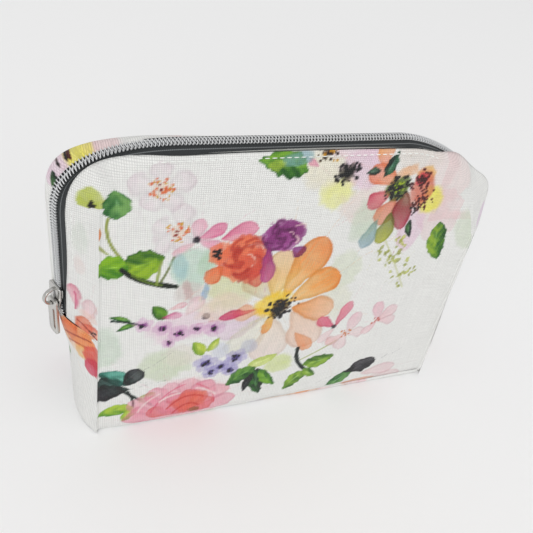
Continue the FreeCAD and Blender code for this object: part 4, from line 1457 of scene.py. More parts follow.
@dataclass(frozen=True)
class PanelForm:
    """One large panel with its side strips, as a height over the bag's middle plane.

    puff and ear swell the cloth's rolled edge over the right shoulder and at its corner; lap
    is how far the cloth reaches over the tape; skin is how far a lining lies inside.
    """

    side: Side
    crease_foot: float = 91.5
    crease_top: float = 88.0
    edge_inset: float = 3.5
    edge_rise: float = 0.6
    edge_depth_leg: float = 7.9
    edge_depth_top: float = 9.6
    pinch: float = 1.25
    dent: float = 1.3
    belly: float = 1.0
    seed: int = 11
    skin: float = 0.0
    puff: float = 0.0
    ear: float = 0.0
    ear_x: float = 90.0
    ear_z: float = 119.0
    foot_reach: float = 0.0
    foot_depth: float = 0.0
    lap: float = 0.0
    lap_depth: float = 2.2
    left_fullness: float = 0.0
    left_raise: float = 0.0
    shoulder_dip: float = 0.0

    def crease_at(self, height: Array) -> Array:
        """Half width of the panel between its two folded edges at a height."""
        share = np.clip(height / FORM.crease_end, 0.0, 1.15)
        return self.crease_foot + (self.crease_top - self.crease_foot) * share - self.skin

    def plane_depth(self, height: Array) -> Array:
        """Distance of the leaning wall from the middle plane at a height."""
        return FORM.half_base - FORM.lean * height - self.skin

    def corner(self, x: Array, z: Array) -> tuple[Array, Array, Array, Array, Array]:
        """Corner coordinates of points.

        Args:
            x: Across the bag.
            z: Up.

        Returns:
            Share across and share up inside the corner (0 outside it), the edge's reach
            and drop, and the corner's fullness.
        """
        centre_x, centre_z, reach, drop, fullness = FORM.shoulder(x < 0.0)
        reach = reach - self.edge_inset - self.skin
        drop = drop + self.edge_rise - self.skin
        if self.left_fullness > 0.0:
            fullness = np.where(x < 0.0, self.left_fullness, fullness)
        share_x = np.clip((np.abs(x) - centre_x) / reach, 0.0, None)
        share_z = np.clip((z - centre_z) / drop, 0.0, None)
        return share_x, share_z, reach, drop, fullness

    def round_corners(self, x: Array, z: Array) -> tuple[Array, Array]:
        """Move points of a square-cornered sheet so that its edge follows the shoulders.

        Args:
            x: Across the bag.
            z: Up.

        Returns:
            The moved x and z.
        """
        share_x, share_z, reach, drop, fullness = self.corner(x, z)
        both = (share_x > 0.0) & (share_z > 0.0)
        safe_x = np.where(both, share_x, 1.0)
        safe_z = np.where(both, share_z, 1.0)
        length = (safe_x ** fullness + safe_z ** fullness) ** (1.0 / fullness)
        shrink = np.where(both, np.maximum(safe_x, safe_z) / length, 1.0)
        new_x = np.where(both, np.sign(x) * (np.abs(x) - share_x * reach * (1.0 - shrink)), x)
        new_z = np.where(both, z - share_z * drop * (1.0 - shrink), z)
        return new_x, new_z

    def edge_distance(self, x: Array, z: Array) -> tuple[Array, Array]:
        """How far points are from the zip edge, and how far that edge is a leg.

        Args:
            x: Across the bag.
            z: Up.

        Returns:
            Distance to the edge, and a share that is 1 beside a leg and 0 under the top.
        """
        share_x, share_z, reach, drop, fullness = self.corner(x, z)
        radius = (share_x ** fullness + share_z ** fullness) ** (1.0 / fullness)
        length = np.hypot(share_x, share_z) + 1e-9
        legness = (share_x / length) ** 2
        local = np.hypot(reach * share_x, drop * share_z) / length
        distance = np.where(radius > 0.0, (1.0 - radius) * local, reach)
        return np.clip(distance, 0.0, None), np.where(radius > 0.0, legness, 0.0)

    def depth(self, x: Array, z: Array) -> Array:
        """Signed Y of the cloth over the point (x, z).

        Args:
            x: Across the bag.
            z: Up.

        Returns:
            The Y of each point.
        """
        distance, legness = self.edge_distance(x, z)
        crease = self.crease_at(z)
        leg_edge = FORM.leg - self.edge_inset - self.skin
        strip = (leg_edge - crease) * legness + 3.0 * (1.0 - legness)
        share = np.clip(1.0 - distance / strip, 0.0, 1.0)
        sharp = 0.2 + 0.8 * smooth_step(z, FORM.crease_end - 8.0, FORM.crease_end + 4.0)
        ramp = np.where(share < sharp, share ** 2 / (2.0 * sharp), share - sharp / 2.0)
        ramp = ramp / (1.0 - sharp / 2.0)
        edge = (self.edge_depth_top
                + (self.edge_depth_leg - self.edge_depth_top) * legness - self.skin)
        low = 1.0 - smooth_step(z, FORM.zip_start, 106.0)
        edge = edge - self.foot_depth * low * legness
        edge = edge - self.shoulder_dip * 4.0 * legness * (1.0 - legness) * (x < 0.0)
        rolled = smooth_step(x, 48.0, 70.0) * (self.puff > 0.0)
        edge = edge + (3.0 - edge) * rolled
        wall = self.plane_depth(z) + self.relief(x, z, distance)
        return self.side.value * (wall + (edge - wall) * ramp)

    def relief(self, x: Array, z: Array, distance: Array) -> Array:
        """Soft bulges, the pinched seams, the hem's step and the tuck at the foot.

        Args:
            x: Across the bag.
            z: Up.
            distance: How far each point is from the zip edge.

        Returns:
            How far each point stands out of the plain wall.
        """
        crease = self.crease_at(z)
        noise = Ripple(self.seed)
        across = np.clip(x / crease, -1.0, 1.0)
        swell = self.belly * np.cos(across * math.pi / 2.0) * np.sin(
            np.clip(z / 147.0, 0.0, 1.0) * math.pi)
        valley = self.dent * np.exp(-((x - 70.0) / 8.0) ** 2) * smooth_step(z, 15.0, 60.0) * (
            1.0 - smooth_step(z, 112.0, 138.0))
        waves = 0.55 * noise.at(x / 46.0 + 3.0, z / 38.0) + 0.2 * noise.at(x / 15.0, z / 17.0)
        calm = smooth_step(distance, 0.0, 14.0)
        seam = self.pinch * np.exp(-((np.abs(x) - crease) / 0.75) ** 2) * (
            1.0 - smooth_step(z, FORM.crease_end - 9.0, FORM.crease_end))
        hem = 0.35 * (1.0 - smooth_step(distance, 2.6, 3.6)) - 0.22 * np.exp(
            -((distance - 3.1) / 0.5) ** 2)
        tuck = -1.1 * (1.0 - smooth_step(z, 1.0, 5.0))
        soft = 0.0 if self.skin > 0.0 else 1.0
        return (swell - valley + waves) * calm + (seam + hem + tuck) * soft

    def beside_coil(self, across: Array, height: Array) -> Array:
        """Where the cloth that laps over the tape ends, next to the coil.

        Args:
            across: As in cloth_points.
            height: As in cloth_points.

        Returns:
            The points where the lap ends.
        """
        end = replace(self, edge_inset=-1.0, edge_rise=-0.3, left_fullness=0.0, skin=0.0)
        foot = FORM.ridge_top - FORM.shoulder(across < 0.0)[3]
        top = FORM.ridge_top + self.edge_rise - self.skin
        share = np.clip((height - foot) / (top - foot), 0.0, 1.0)
        level = np.where(height > foot, foot + share * (FORM.ridge_top + end.edge_rise - foot),
                         height)
        crease = end.crease_at(level)
        leg_edge = FORM.leg - end.edge_inset
        inner = np.clip(np.abs(across), 0.0, 1.0) * crease
        outer = np.clip(np.abs(across) - 1.0, 0.0, 1.0) * (leg_edge - crease)
        x, z = end.round_corners(np.sign(across) * (inner + outer), level)
        return np.stack([x, np.full_like(x, self.side.value * self.lap_depth), z], axis=1)

    def cloth_points(self, across: Array, height: Array) -> Array:
        """Points of the sheet.

        Args:
            across: -2 to 2: the zip edge, the folded edge (-1), the other one (1), the
                other zip edge. Values past 2 turn the lip down to the tape.
            height: Height before the shoulders are rounded; values past the top turn the
                lip down.

        Returns:
            The points, one for each pair of values.
        """
        top = FORM.ridge_top + self.edge_rise - self.skin
        lip_side = np.clip(np.abs(across) - 2.0, 0.0, None)
        lip_top = np.clip(height - top, 0.0, None)
        lip = np.maximum(lip_side, lip_top)
        flat_z = np.minimum(height, top)
        crease = self.crease_at(flat_z)
        leg_edge = FORM.leg - self.edge_inset - self.skin
        inner = np.clip(np.abs(across), 0.0, 1.0) * crease
        strip = np.clip(np.abs(across) - 1.0, 0.0, 1.0)
        outer = strip * (leg_edge - crease)
        x, z = self.round_corners(np.sign(across) * (inner + outer), flat_z)
        y = self.depth(x, z)
        distance, legness = self.edge_distance(x, z)
        low = 1.0 - smooth_step(z, FORM.zip_start, 106.0)
        x = x + np.sign(x) * self.foot_reach * low * strip
        away = np.stack([np.sign(x) * np.sqrt(legness), np.zeros_like(x),
                         np.sqrt(1.0 - legness)], axis=1)
        rolled = smooth_step(x, 44.0, 72.0) * smooth_step(z, 60.0, 84.0)
        swollen = (self.puff * rolled * np.exp(-(distance / 9.0) ** 2)
                   * (1.0 + 0.75 * smooth_step(x, 80.0, 96.0)))
        swollen = swollen + self.ear * np.exp(-((x - self.ear_x) / 14.0) ** 2
                                              - ((z - self.ear_z) / 11.0) ** 2
                                              - (distance / 10.0) ** 2)
        z = z + self.left_raise * (1.0 - smooth_step(x, -72.0, -20.0)) * smooth_step(z, 112.0, 136.0)
        if self.lap > 0.0:
            share = np.clip(lip / self.lap, 0.0, 1.0)[:, None]
            swell = 0.7 * np.sin(math.pi * share)
            edge_points = np.stack([x, y, z], axis=1)
            return FORM.crown(edge_points * (1.0 - share)
                              + self.beside_coil(across, height) * share + away * swell)
        inward = np.stack([-np.sign(x) * legness, -0.35 * legness * self.side.value,
                           legness - 1.0], axis=1)
        inward /= np.linalg.norm(inward, axis=1)[:, None]
        swollen = swollen + (0.36 * self.shoulder_dip * 4.0 * legness * (1.0 - legness)
                             * (x < 0.0) * np.exp(-(distance / 7.0) ** 2))
        points = np.stack([x, y, z], axis=1) + away * swollen[:, None]
        return FORM.crown(points + inward * lip[:, None])


def seam_height(x: Array) -> Array:
    """Height of the front's bottom seam, which climbs a little towards the right."""
    return 1.6 + 2.2 * smooth_step(x, -20.0, 92.0)


FOLD_START = 72.0
FOLD_END = 100.0


def bend_with_front(piece: bpy.types.Object) -> None:
    """Let a front piece bend across the fold line when the mouth opens."""
    axis_y = -(FORM.half_base - FORM.lean * 85.0) * MM
    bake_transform(piece, "bag", "front_flap", start=(0.0, axis_y, FOLD_START * MM),
             end=(0.0, axis_y, FOLD_END * MM))


@dataclass
class Panel:
    """The outer canvas of the front or the back, with its side strips and hem."""

    form: PanelForm
    print_sheet: "PrintSheet"
    canvas: bpy.types.Material
    step: float = 0.62
    lip: tuple[float, ...] = (0.3, 0.8, 1.3)

    def edge_steps(self) -> list[float]:
        """Lip distances past the edge: a short turned lip, or a lap over the tape."""
        if self.form.lap > 0.0:
            return spaced([0.0, self.form.lap], 0.7)[1:]
        return list(self.lip)

    def columns(self) -> list[float]:
        """Column values: fine on the strips and finest beside the folded edges."""
        wide = self.step / self.form.crease_top
        tight = wide * 0.45
        strip = self.step / 12.0
        right = spaced([0.0, 0.975], wide)[:-1] + spaced([0.975, 1.0], tight)
        right += spaced([1.0, 1.15], strip * 0.5)[1:] + spaced([1.15, 2.0], strip)[1:]
        right += [2.0 + amount for amount in self.edge_steps()]
        return [-value for value in reversed(right[1:])] + right

    def rows(self) -> list[float]:
        """Row values from the bottom seam to the top lip."""
        top = FORM.ridge_top + self.form.edge_rise
        rows = spaced([0.8, FORM.zip_start - 0.6, FORM.zip_start, top], self.step)
        return rows + [top + amount for amount in self.edge_steps()]

    def build(self, name: str) -> bpy.types.Object:
        """Make the sheet, cut away the strips below the zip, and print it.

        Args:
            name: The piece's name.

        Returns:
            The finished cloth.
        """
        bm = grid_bmesh(self.columns(), self.rows())
        flat = read_points(bm)
        across, height = flat[:, 0], flat[:, 1]
        gone = (height < FORM.zip_start - 0.3) & (np.abs(across) > 1.0 + 1e-6)
        points = self.form.cloth_points(across, height)
        if self.form.side is Side.FRONT:
            lift = (1.0 - smooth_step(height, 1.0, 14.0)) * (seam_height(points[:, 0]) - 1.6)
            points[:, 2] += lift
        write_points(bm, points)
        layer = bm.verts.layers.float.new("across")
        for vert, value in zip(bm.verts, across):
            vert[layer] = value
        doomed = [vert for vert, cut_away in zip(bm.verts, gone) if cut_away]
        bmesh.ops.delete(bm, geom=doomed, context="VERTS")
        face_towards(bm, Vector((0.0, float(self.form.side.value), 0.0)))
        kept = read_points(bm)
        kept_across = np.array([vert[layer] for vert in bm.verts])
        bm.verts.layers.float.remove(layer)
        piece = finish_object(name, bm, self.canvas)
        sideways = np.clip(np.abs(kept_across) - 1.0, 0.0, 1.0)
        cloth_x = kept[:, 0] + np.sign(kept[:, 0]) * sideways * 5.0
        store_uv(piece, cloth_x, kept[:, 2])
        store_print(piece, self.print_sheet.colours(kept[:, 0], kept[:, 2], kept_across))
        return piece


def arch_power(height: Array) -> Array:
    """How square the side's arch is: squarer by the base, where the board spreads it."""
    return 1.7 + 2.2 * (1.0 - smooth_step(height, 0.0, 52.0))


@dataclass
class Gusset:
    """The canvas of one lower side, between the front's and the back's folded edges."""

    sign: float
    front: PanelForm
    back: PanelForm
    canvas: bpy.types.Material
    print_sheet: "PrintSheet"
    step: float = 0.7
    bulge_top: float = 11.6
    bulge_low: float = 8.0

    def place(self, share: Array, height: Array, skin: float = 0.0) -> Array:
        """Points of the side wall.

        Args:
            share: 0 at the front's folded edge, 1 at the back's.
            height: Height over the base.
            skin: How far inside the outer surface.

        Returns:
            The points.
        """
        half_depth = FORM.half_base - FORM.lean * height - skin
        crease = (self.front.crease_at(height) * (1.0 - share)
                  + self.back.crease_at(height) * share) - skin
        rise = smooth_step(height, 30.0, FORM.zip_start + 5.0)
        bulge = self.bulge_low + (self.bulge_top - self.bulge_low) * rise
        arch = 1.0 - np.abs(2.0 * share - 1.0) ** arch_power(height)
        noise = Ripple(23)
        waves = 0.5 * noise.at(share * 2.5 + 5.0 * self.sign, height / 22.0) * arch
        roll = 1.3 * (1.0 - smooth_step(height, 0.0, 3.5))
        tuck = 0.9 * smooth_step(height, FORM.zip_start - 2.2, FORM.zip_start)
        x = crease + bulge * arch + waves - roll * arch - tuck
        hug = 0.0 if skin > 0.0 else 1.2
        y = (2.0 * share - 1.0) * (half_depth + hug * np.abs(2.0 * share - 1.0) ** 24)
        return FORM.crown(np.stack([self.sign * x, y, height], axis=1))

    def build(self, name: str) -> bpy.types.Object:
        """Make the side cloth and print it; returns the piece."""
        shares = spaced([0.0, 1.0], self.step / 48.0)
        heights = spaced([0.4, FORM.zip_start], self.step)
        bm = grid_bmesh(shares, heights)
        flat = read_points(bm)
        points = self.place(flat[:, 0], flat[:, 1])
        write_points(bm, points)
        face_towards(bm, Vector((self.sign, 0.0, 0.0)))
        piece = finish_object(name, bm, self.canvas)
        store_uv(piece, points[:, 1] * 1.1, points[:, 2])
        store_print(piece, self.print_sheet.colours(points[:, 1], points[:, 2],
                                                    np.zeros(len(points))))
        return piece


@dataclass
class BaseCloth:
    """The flat bottom cloth; its edges roll up to the four bottom seams."""

    front: PanelForm
    back: PanelForm
    canvas: bpy.types.Material
    print_sheet: "PrintSheet"
    roll: float = 2.2
    seam_inset: float = 0.9
    bulge: float = 1.5
    side_swell: float = 6.6

    def build(self, name: str) -> bpy.types.Object:
        """Make the cloth and print it; returns the piece."""
        half_x = self.front.crease_foot + 0.2
        half_y = FORM.half_base - self.seam_inset
        fine = [0.0, 0.2, 0.45, 0.75, 1.1, 1.6, self.roll]
        inner_x = spaced([-half_x + self.roll, half_x - self.roll], 2.0)
        inner_y = spaced([-half_y + self.roll, half_y - self.roll], 2.0)
        columns = [-half_x + step for step in fine[:-1]] + inner_x
        columns += [half_x - step for step in reversed(fine[:-1])]
        rows = [-half_y + step for step in fine[:-1]] + inner_y
        rows += [half_y - step for step in reversed(fine[:-1])]
        bm = grid_bmesh(columns, rows)
        points = read_points(bm)
        x, y = points[:, 0].copy(), points[:, 1].copy()
        near_x = np.clip(1.0 - (half_x - np.abs(x)) / self.roll, 0.0, 1.0)
        near_y = np.clip(1.0 - (half_y - np.abs(y)) / self.roll, 0.0, 1.0)
        front_side = y < 0.0
        seam = np.where(front_side, seam_height(x) - 0.5, 1.2)
        side_seam = np.interp(np.clip(y / half_y, -1.0, 1.0), [-1.0, 0.0, 1.0], [1.0, 0.5, 0.6])
        side_seam = np.where(front_side, np.maximum(side_seam, 0.5), side_seam)
        rise = np.maximum(near_y ** 2.0 * seam, near_x ** 2.0 * np.maximum(side_seam, near_y * seam))
        tuck = near_x * near_y
        out_y = self.bulge * np.sin(math.pi * near_y) * (0.55 + 0.45 * smooth_step(x, -30.0, 80.0))
        out_x = 0.8 * np.sin(math.pi * near_x)
        arch = 1.0 - np.abs(y / half_y) ** arch_power(np.zeros(1))
        swell = self.side_swell * arch * smooth_step(np.abs(x), 45.0, half_x)
        points[:, 0] = x + np.sign(x) * (out_x * (1.0 - tuck) + swell)
        points[:, 1] = y + np.sign(y) * out_y * (1.0 - tuck)
        points[:, 2] = rise
        write_points(bm, points)
        face_towards(bm, Vector((0.0, 0.0, -1.0)))
        piece = finish_object(name, bm, self.canvas)
        store_uv(piece, x, y)
        store_print(piece, self.print_sheet.colours(points[:, 0], points[:, 1],
                                                    np.zeros(len(points))))
        return piece


@dataclass
class Lining:
    """The plain cloth inside: one sheet each for the front, back, base and two sides."""

    front: PanelForm
    back: PanelForm
    cloth: bpy.types.Material
    skin: float = 2.6
    step: float = 2.4

    def wall(self, name: str, form: PanelForm) -> bpy.types.Object:
        """The lining of one panel, with a lip that reaches out to the tape.

        Args:
            name: The piece's name.
            form: The outer panel's form, shrunk by the wall's thickness.

        Returns:
            The finished sheet.
        """
        top = FORM.ridge_top + form.edge_rise - form.skin
        half = spaced([0.0, 1.0], self.step / 88.0)[:-1] + spaced([1.0, 2.0], self.step / 12.0)
        half += [2.9, 3.8]
        columns = [-value for value in reversed(half[1:])] + half
        rows = spaced([2.6, FORM.zip_start - 0.6, FORM.zip_start, top], self.step)
        rows += [top + 0.9, top + 1.8]
        bm = grid_bmesh(columns, rows)
        flat = read_points(bm)
        across, height = flat[:, 0], flat[:, 1]
        lip = np.maximum(np.clip(np.abs(across) - 2.0, 0.0, None),
                         np.clip(height - top, 0.0, None))
        points = form.cloth_points(np.clip(across, -2.0, 2.0), np.minimum(height, top))
        outward = points - np.array([0.0, 0.0, 70.0])
        outward[:, 1] = 0.0
        outward /= np.linalg.norm(outward, axis=1)[:, None]
        points += outward * lip[:, None]
        write_points(bm, points)
        gone = (height < FORM.zip_start - 0.3) & (np.abs(across) > 1.0 + 1e-6)
        doomed = [vert for vert, cut_away in zip(bm.verts, gone) if cut_away]
        bmesh.ops.delete(bm, geom=doomed, context="VERTS")
        face_towards(bm, Vector((0.0, -float(form.side.value), 0.0)))
        kept = read_points(bm)
        piece = finish_object(name, bm, self.cloth)
        store_uv(piece, kept[:, 0], kept[:, 2])
        return piece

    def side(self, name: str, gusset: Gusset) -> bpy.types.Object:
        """The lining of one lower side; returns the piece."""
        bm = grid_bmesh(spaced([0.0, 1.0], self.step / 48.0),
                        spaced([2.6, FORM.zip_start + 0.6], self.step))
        flat = read_points(bm)
        points = gusset.place(flat[:, 0], flat[:, 1], self.skin)
        write_points(bm, points)
        face_towards(bm, Vector((-gusset.sign, 0.0, 0.0)))
        piece = finish_object(name, bm, self.cloth)
        store_uv(piece, points[:, 1], points[:, 2])
        return piece

    def floor(self, name: str) -> bpy.types.Object:
        """The lining of the base; returns the piece."""
        half_x = self.front.crease_foot - self.skin
        half_y = FORM.half_base - self.skin - 0.3
        bm = grid_bmesh(spaced([-half_x, half_x], self.step), spaced([-half_y, half_y], self.step))
        points = read_points(bm)
        points[:, 2] = 2.6
        write_points(bm, points)
        face_towards(bm, Vector((0.0, 0.0, 1.0)))
        piece = finish_object(name, bm, self.cloth)
        store_uv(piece, points[:, 0], points[:, 1])
        return piece


@dataclass
class ZipTape:
    """One half of the woven tape: flat beside the coil, then under the cloth's edge."""

    band: ZipBand
    cloth: bpy.types.Material
    gap: float = 0.5
    thickness: float = 0.45
    step: float = 1.0

    def build(self, name: str) -> bpy.types.Object:
        """Sweep the tape along the zip; returns the piece."""
        stations = ridge_stations(self.step, FORM.zip_start)
        knee = self.band.knee
        offsets = [self.gap, 1.1, 1.8, knee]
        offsets += [knee + share for share in (0.14, 0.3, 0.5, 0.7, 0.85, 1.0)]
        count = len(stations.run)
        bm = grid_bmesh(list(range(count)), list(range(len(offsets) + 1)))
        strips = [self.band.place(stations, offset, 0.0) for offset in offsets]
        sunk = strips[-1] - 1.6 * stations.outward
        strips.append(sunk)
        index = np.rint(read_points(bm)[:, :2]).astype(int)
        stack = np.stack(strips, axis=1)
        points = stack[index[:, 0], index[:, 1]]
        write_points(bm, points)
        across = np.array([min(offset, knee) + max(offset - knee, 0.0) * 6.0
                           for offset in offsets] + [knee + 7.6])
        face_towards(bm, Vector((0.0, 0.0, 1.0)))
        geometry = bm.faces[:]
        bmesh.ops.solidify(bm, geom=geometry, thickness=self.thickness)
        bm.normal_update()
        total = len(bm.verts)
        piece = finish_object(name, bm, self.cloth)
        along_uv = stations.run[index[:, 0]]
        across_uv = across[index[:, 1]]
        spare = total - len(along_uv)
        if spare > 0:
            placed = np.array([vert.co[:] for vert in piece.data.vertices]) / MM
            centre = points
            extra = placed[len(along_uv):]
            nearest = np.array([int(np.argmin(((centre - spot) ** 2).sum(axis=1)))
                                for spot in extra])
            along_uv = np.concatenate([along_uv, along_uv[nearest]])
            across_uv = np.concatenate([across_uv, across_uv[nearest]])
        store_uv(piece, along_uv, across_uv)
        return piece


@dataclass
class ZipCoil:
    """One half of the coil: a wire wound flat along the tape's inner edge."""

    side: Side
    metal: bpy.types.Material
    pitch: float = 1.4
    wire: float = 0.24
    reach_in: float = -0.25
    reach_out: float = 2.15
    height: float = 1.0
    per_turn: int = 12

    def build(self, name: str) -> bpy.types.Object:
        """Wind the coil along the zip; returns the piece."""
        stations = ridge_stations(self.pitch / self.per_turn, FORM.zip_start + 0.8)
        sign = 1.0 if self.side is Side.FRONT else -1.0
        start = 0.0 if self.side is Side.FRONT else math.pi
        phase = stations.run / self.pitch * 2.0 * math.pi + start
        swing = np.cos(phase)
        middle = (self.reach_in + self.reach_out) / 2.0
        across = middle + (self.reach_out - self.reach_in) / 2.0 * np.sign(swing) * np.abs(
            swing) ** 0.8
        lift = 0.27 + self.height / 2.0 * np.sin(phase)
        spread = np.clip(66.0 - stations.centre[:, 2], 0.0, None) * 0.35
        points = (stations.centre + sign * (across + spread)[:, None] * stations.frontward
                  + lift[:, None] * stations.outward)
        curve = bpy.data.curves.new(name, "CURVE")
        curve.dimensions = "3D"
        curve.bevel_depth = self.wire
        curve.bevel_resolution = 1
        curve.use_fill_caps = True
        spline = curve.splines.new("POLY")
        spline.points.add(len(points) - 1)
        homogeneous = np.ones((len(points), 4), np.float32)
        homogeneous[:, :3] = points
        spline.points.foreach_set("co", homogeneous.ravel())
        wound = bpy.data.objects.new(name + "_wire", curve)
        mesh = bpy.data.meshes.new_from_object(wound)
        bm = bmesh.new()
        bm.from_mesh(mesh)
        bpy.data.objects.remove(wound)
        bpy.data.curves.remove(curve)
        bpy.data.meshes.remove(mesh)
        bmesh.ops.recalc_face_normals(bm, faces=bm.faces)
        return finish_object(name, bm, self.metal)


def stitch_run(path: Array, normals: Array, pitch: float, length: float,
               width: float) -> bmesh.types.BMesh:
    """A row of stitches laid along a path.

    Args:
        path: Points that the row follows.
        normals: Surface direction at each of them.
        pitch: From one stitch to the next.
        length: Of one stitch.
        width: Of the thread.

    Returns:
        The mesh of all the stitches.
    """
    gaps = np.linalg.norm(np.diff(path, axis=0), axis=1)
    travelled = np.concatenate([[0.0], np.cumsum(gaps)])
    places = np.arange(pitch / 2.0, travelled[-1], pitch)

    def along(values: Array, at: float) -> Vector:
        return Vector([float(np.interp(at, travelled, values[:, axis])) for axis in range(3)])

    bm = bmesh.new()
    for place in places:
        ahead = (along(path, place + length / 2.0) - along(path, place - length / 2.0)).normalized()
        up = along(normals, place).normalized()
        beside = up.cross(ahead).normalized()
        up = ahead.cross(beside)
        frame_of = Matrix((ahead, beside, up)).transposed().to_4x4()
        frame_of.translation = along(path, place) + up * width * 0.1
        made = bmesh.ops.create_uvsphere(bm, u_segments=6, v_segments=4, radius=0.5,
                                         matrix=Matrix.Rotation(math.pi / 2.0, 4, "Y"))
        bmesh.ops.scale(bm, vec=(length, width, width * 0.75), verts=made["verts"])
        bmesh.ops.transform(bm, matrix=frame_of, verts=made["verts"])
    return bm


@dataclass
class TopStitches:
    """The row of stitches that holds the panel's edge to the tape."""

    form: PanelForm
    thread: bpy.types.Material
    inset: float = 1.9
    pitch: float = 3.0
    length: float = 2.3
    width: float = 0.5

    def path(self) -> tuple[Array, Array]:
        """Points of the row and the cloth's direction at each of them."""
        form = self.form
        runs = []
        for sign, shape in ((-1.0, FORM.left), (1.0, FORM.right)):
            leg = FORM.leg - form.edge_inset - self.inset
            top = FORM.ridge_top + form.edge_rise - self.inset
            reach = shape.reach - form.edge_inset - self.inset
            drop = shape.drop + form.edge_rise - self.inset
            angle = np.linspace(0.0, math.pi / 2.0, 120)
            corner_x = leg - reach + reach * np.cos(angle) ** (2.0 / shape.fullness)
            corner_z = top - drop + drop * np.sin(angle) ** (2.0 / shape.fullness)
            straight_z = np.linspace(FORM.zip_start + 1.5, top - drop, 40)[:-1]
            x = np.concatenate([np.full(len(straight_z), leg), corner_x])
            z = np.concatenate([straight_z, corner_z])
            runs.append((sign * x, z) if sign < 0 else (sign * x[::-1], z[::-1]))
        x = np.concatenate([runs[0][0], runs[1][0]])
        z = np.concatenate([runs[0][1], runs[1][1]])
        y = form.depth(x, z)
        slope_x = (form.depth(x + 0.3, z) - form.depth(x - 0.3, z)) / 0.6
        slope_z = (form.depth(x, z + 0.3) - form.depth(x, z - 0.3)) / 0.6
        normals = form.side.value * np.stack([-slope_x, np.ones_like(x), -slope_z], axis=1)
        normals /= np.linalg.norm(normals, axis=1)[:, None]
        return FORM.crown(np.stack([x, y, z], axis=1)), normals

    def build(self, name: str) -> bpy.types.Object:
        """Sew the row; returns the piece."""
        points, normals = self.path()
        bm = stitch_run(points, normals, self.pitch, self.length, self.width)
        return finish_object(name, bm, self.thread)


@dataclass(frozen=True)
class SliderFrame:
    """Where the slider stands, with its own directions."""

    origin: tuple[float, float, float] = (-103.0, 0.0, 72.5)

    def matrix(self) -> Matrix:
        """Local to bag: X out of the zip, Y towards the front, Z up."""
        out = Vector((-math.cos(FORM.tilt), -math.sin(FORM.tilt), 0.0))
        front = Vector((math.sin(FORM.tilt), -math.cos(FORM.tilt), 0.0))
        up = Vector((0.0, 0.0, 1.0))
        turned = Matrix((out, front, up)).transposed().to_4x4()
        turned.translation = Vector(self.origin)
        return turned


def bevelled(bm: bmesh.types.BMesh, offset: float, segments: int = 2,
             sharper_than: float = 30.0) -> None:
    """Round the sharp edges of a mesh.

    Args:
        bm: The mesh.
        offset: Width of the bevel.
        segments: Steps across the bevel.
        sharper_than: Smallest angle between faces, in degrees, that counts as an edge.
    """
    limit = math.radians(sharper_than)
    sharp = [edge for edge in bm.edges if edge.is_manifold and edge.calc_face_angle() > limit]
    bmesh.ops.bevel(bm, geom=sharp, offset=offset, offset_type="OFFSET", affect="EDGES",
                    segments=segments, profile=0.5, material=-1, clamp_overlap=True)


def plate(bm: bmesh.types.BMesh, outline: Sequence[tuple[float, float]], low: float,
          high: float) -> list[bmesh.types.BMVert]:
    """Add a plate with a (Y, Z) outline between two X levels; returns its vertices.

    Args:
        bm: The mesh to add to.
        outline: Corners of the plate, as Y and Z.
        low: X of one face.
        high: X of the other face.
    """
    ring = [bm.verts.new((low, y, z)) for y, z in outline]
    face = bm.faces.new(ring)
    made = bmesh.ops.extrude_face_region(bm, geom=[face])
    moved = [item for item in made["geom"] if isinstance(item, bmesh.types.BMVert)]
    bmesh.ops.translate(bm, vec=(high - low, 0.0, 0.0), verts=moved)
    return ring + moved


def rounded_outline(half_width: float, low: float, high: float, low_round: float,
                    high_round: float, steps: int = 8) -> list[tuple[float, float]]:
    """Outline of a strip along Z whose two ends have rounded corners.

    Args:
        half_width: Half of its width.
        low: Its lowest point.
        high: Its highest point.
        low_round: Corner radius at the lower end.
        high_round: Corner radius at the upper end.
        steps: Segments in each corner.

    Returns:
        Its points in order.
    """
    points = []
    for centre_y, centre_z, radius, start in (
            (half_width - high_round, high - high_round, high_round, 0.0),
            (-half_width + high_round, high - high_round, high_round, 90.0),
            (-half_width + low_round, low + low_round, low_round, 180.0),
            (half_width - low_round, low + low_round, low_round, 270.0)):
        for step in range(steps + 1):
            angle = math.radians(start + 90.0 * step / steps)
            points.append((centre_y + radius * math.cos(angle),
                           centre_z + radius * math.sin(angle)))
    return points


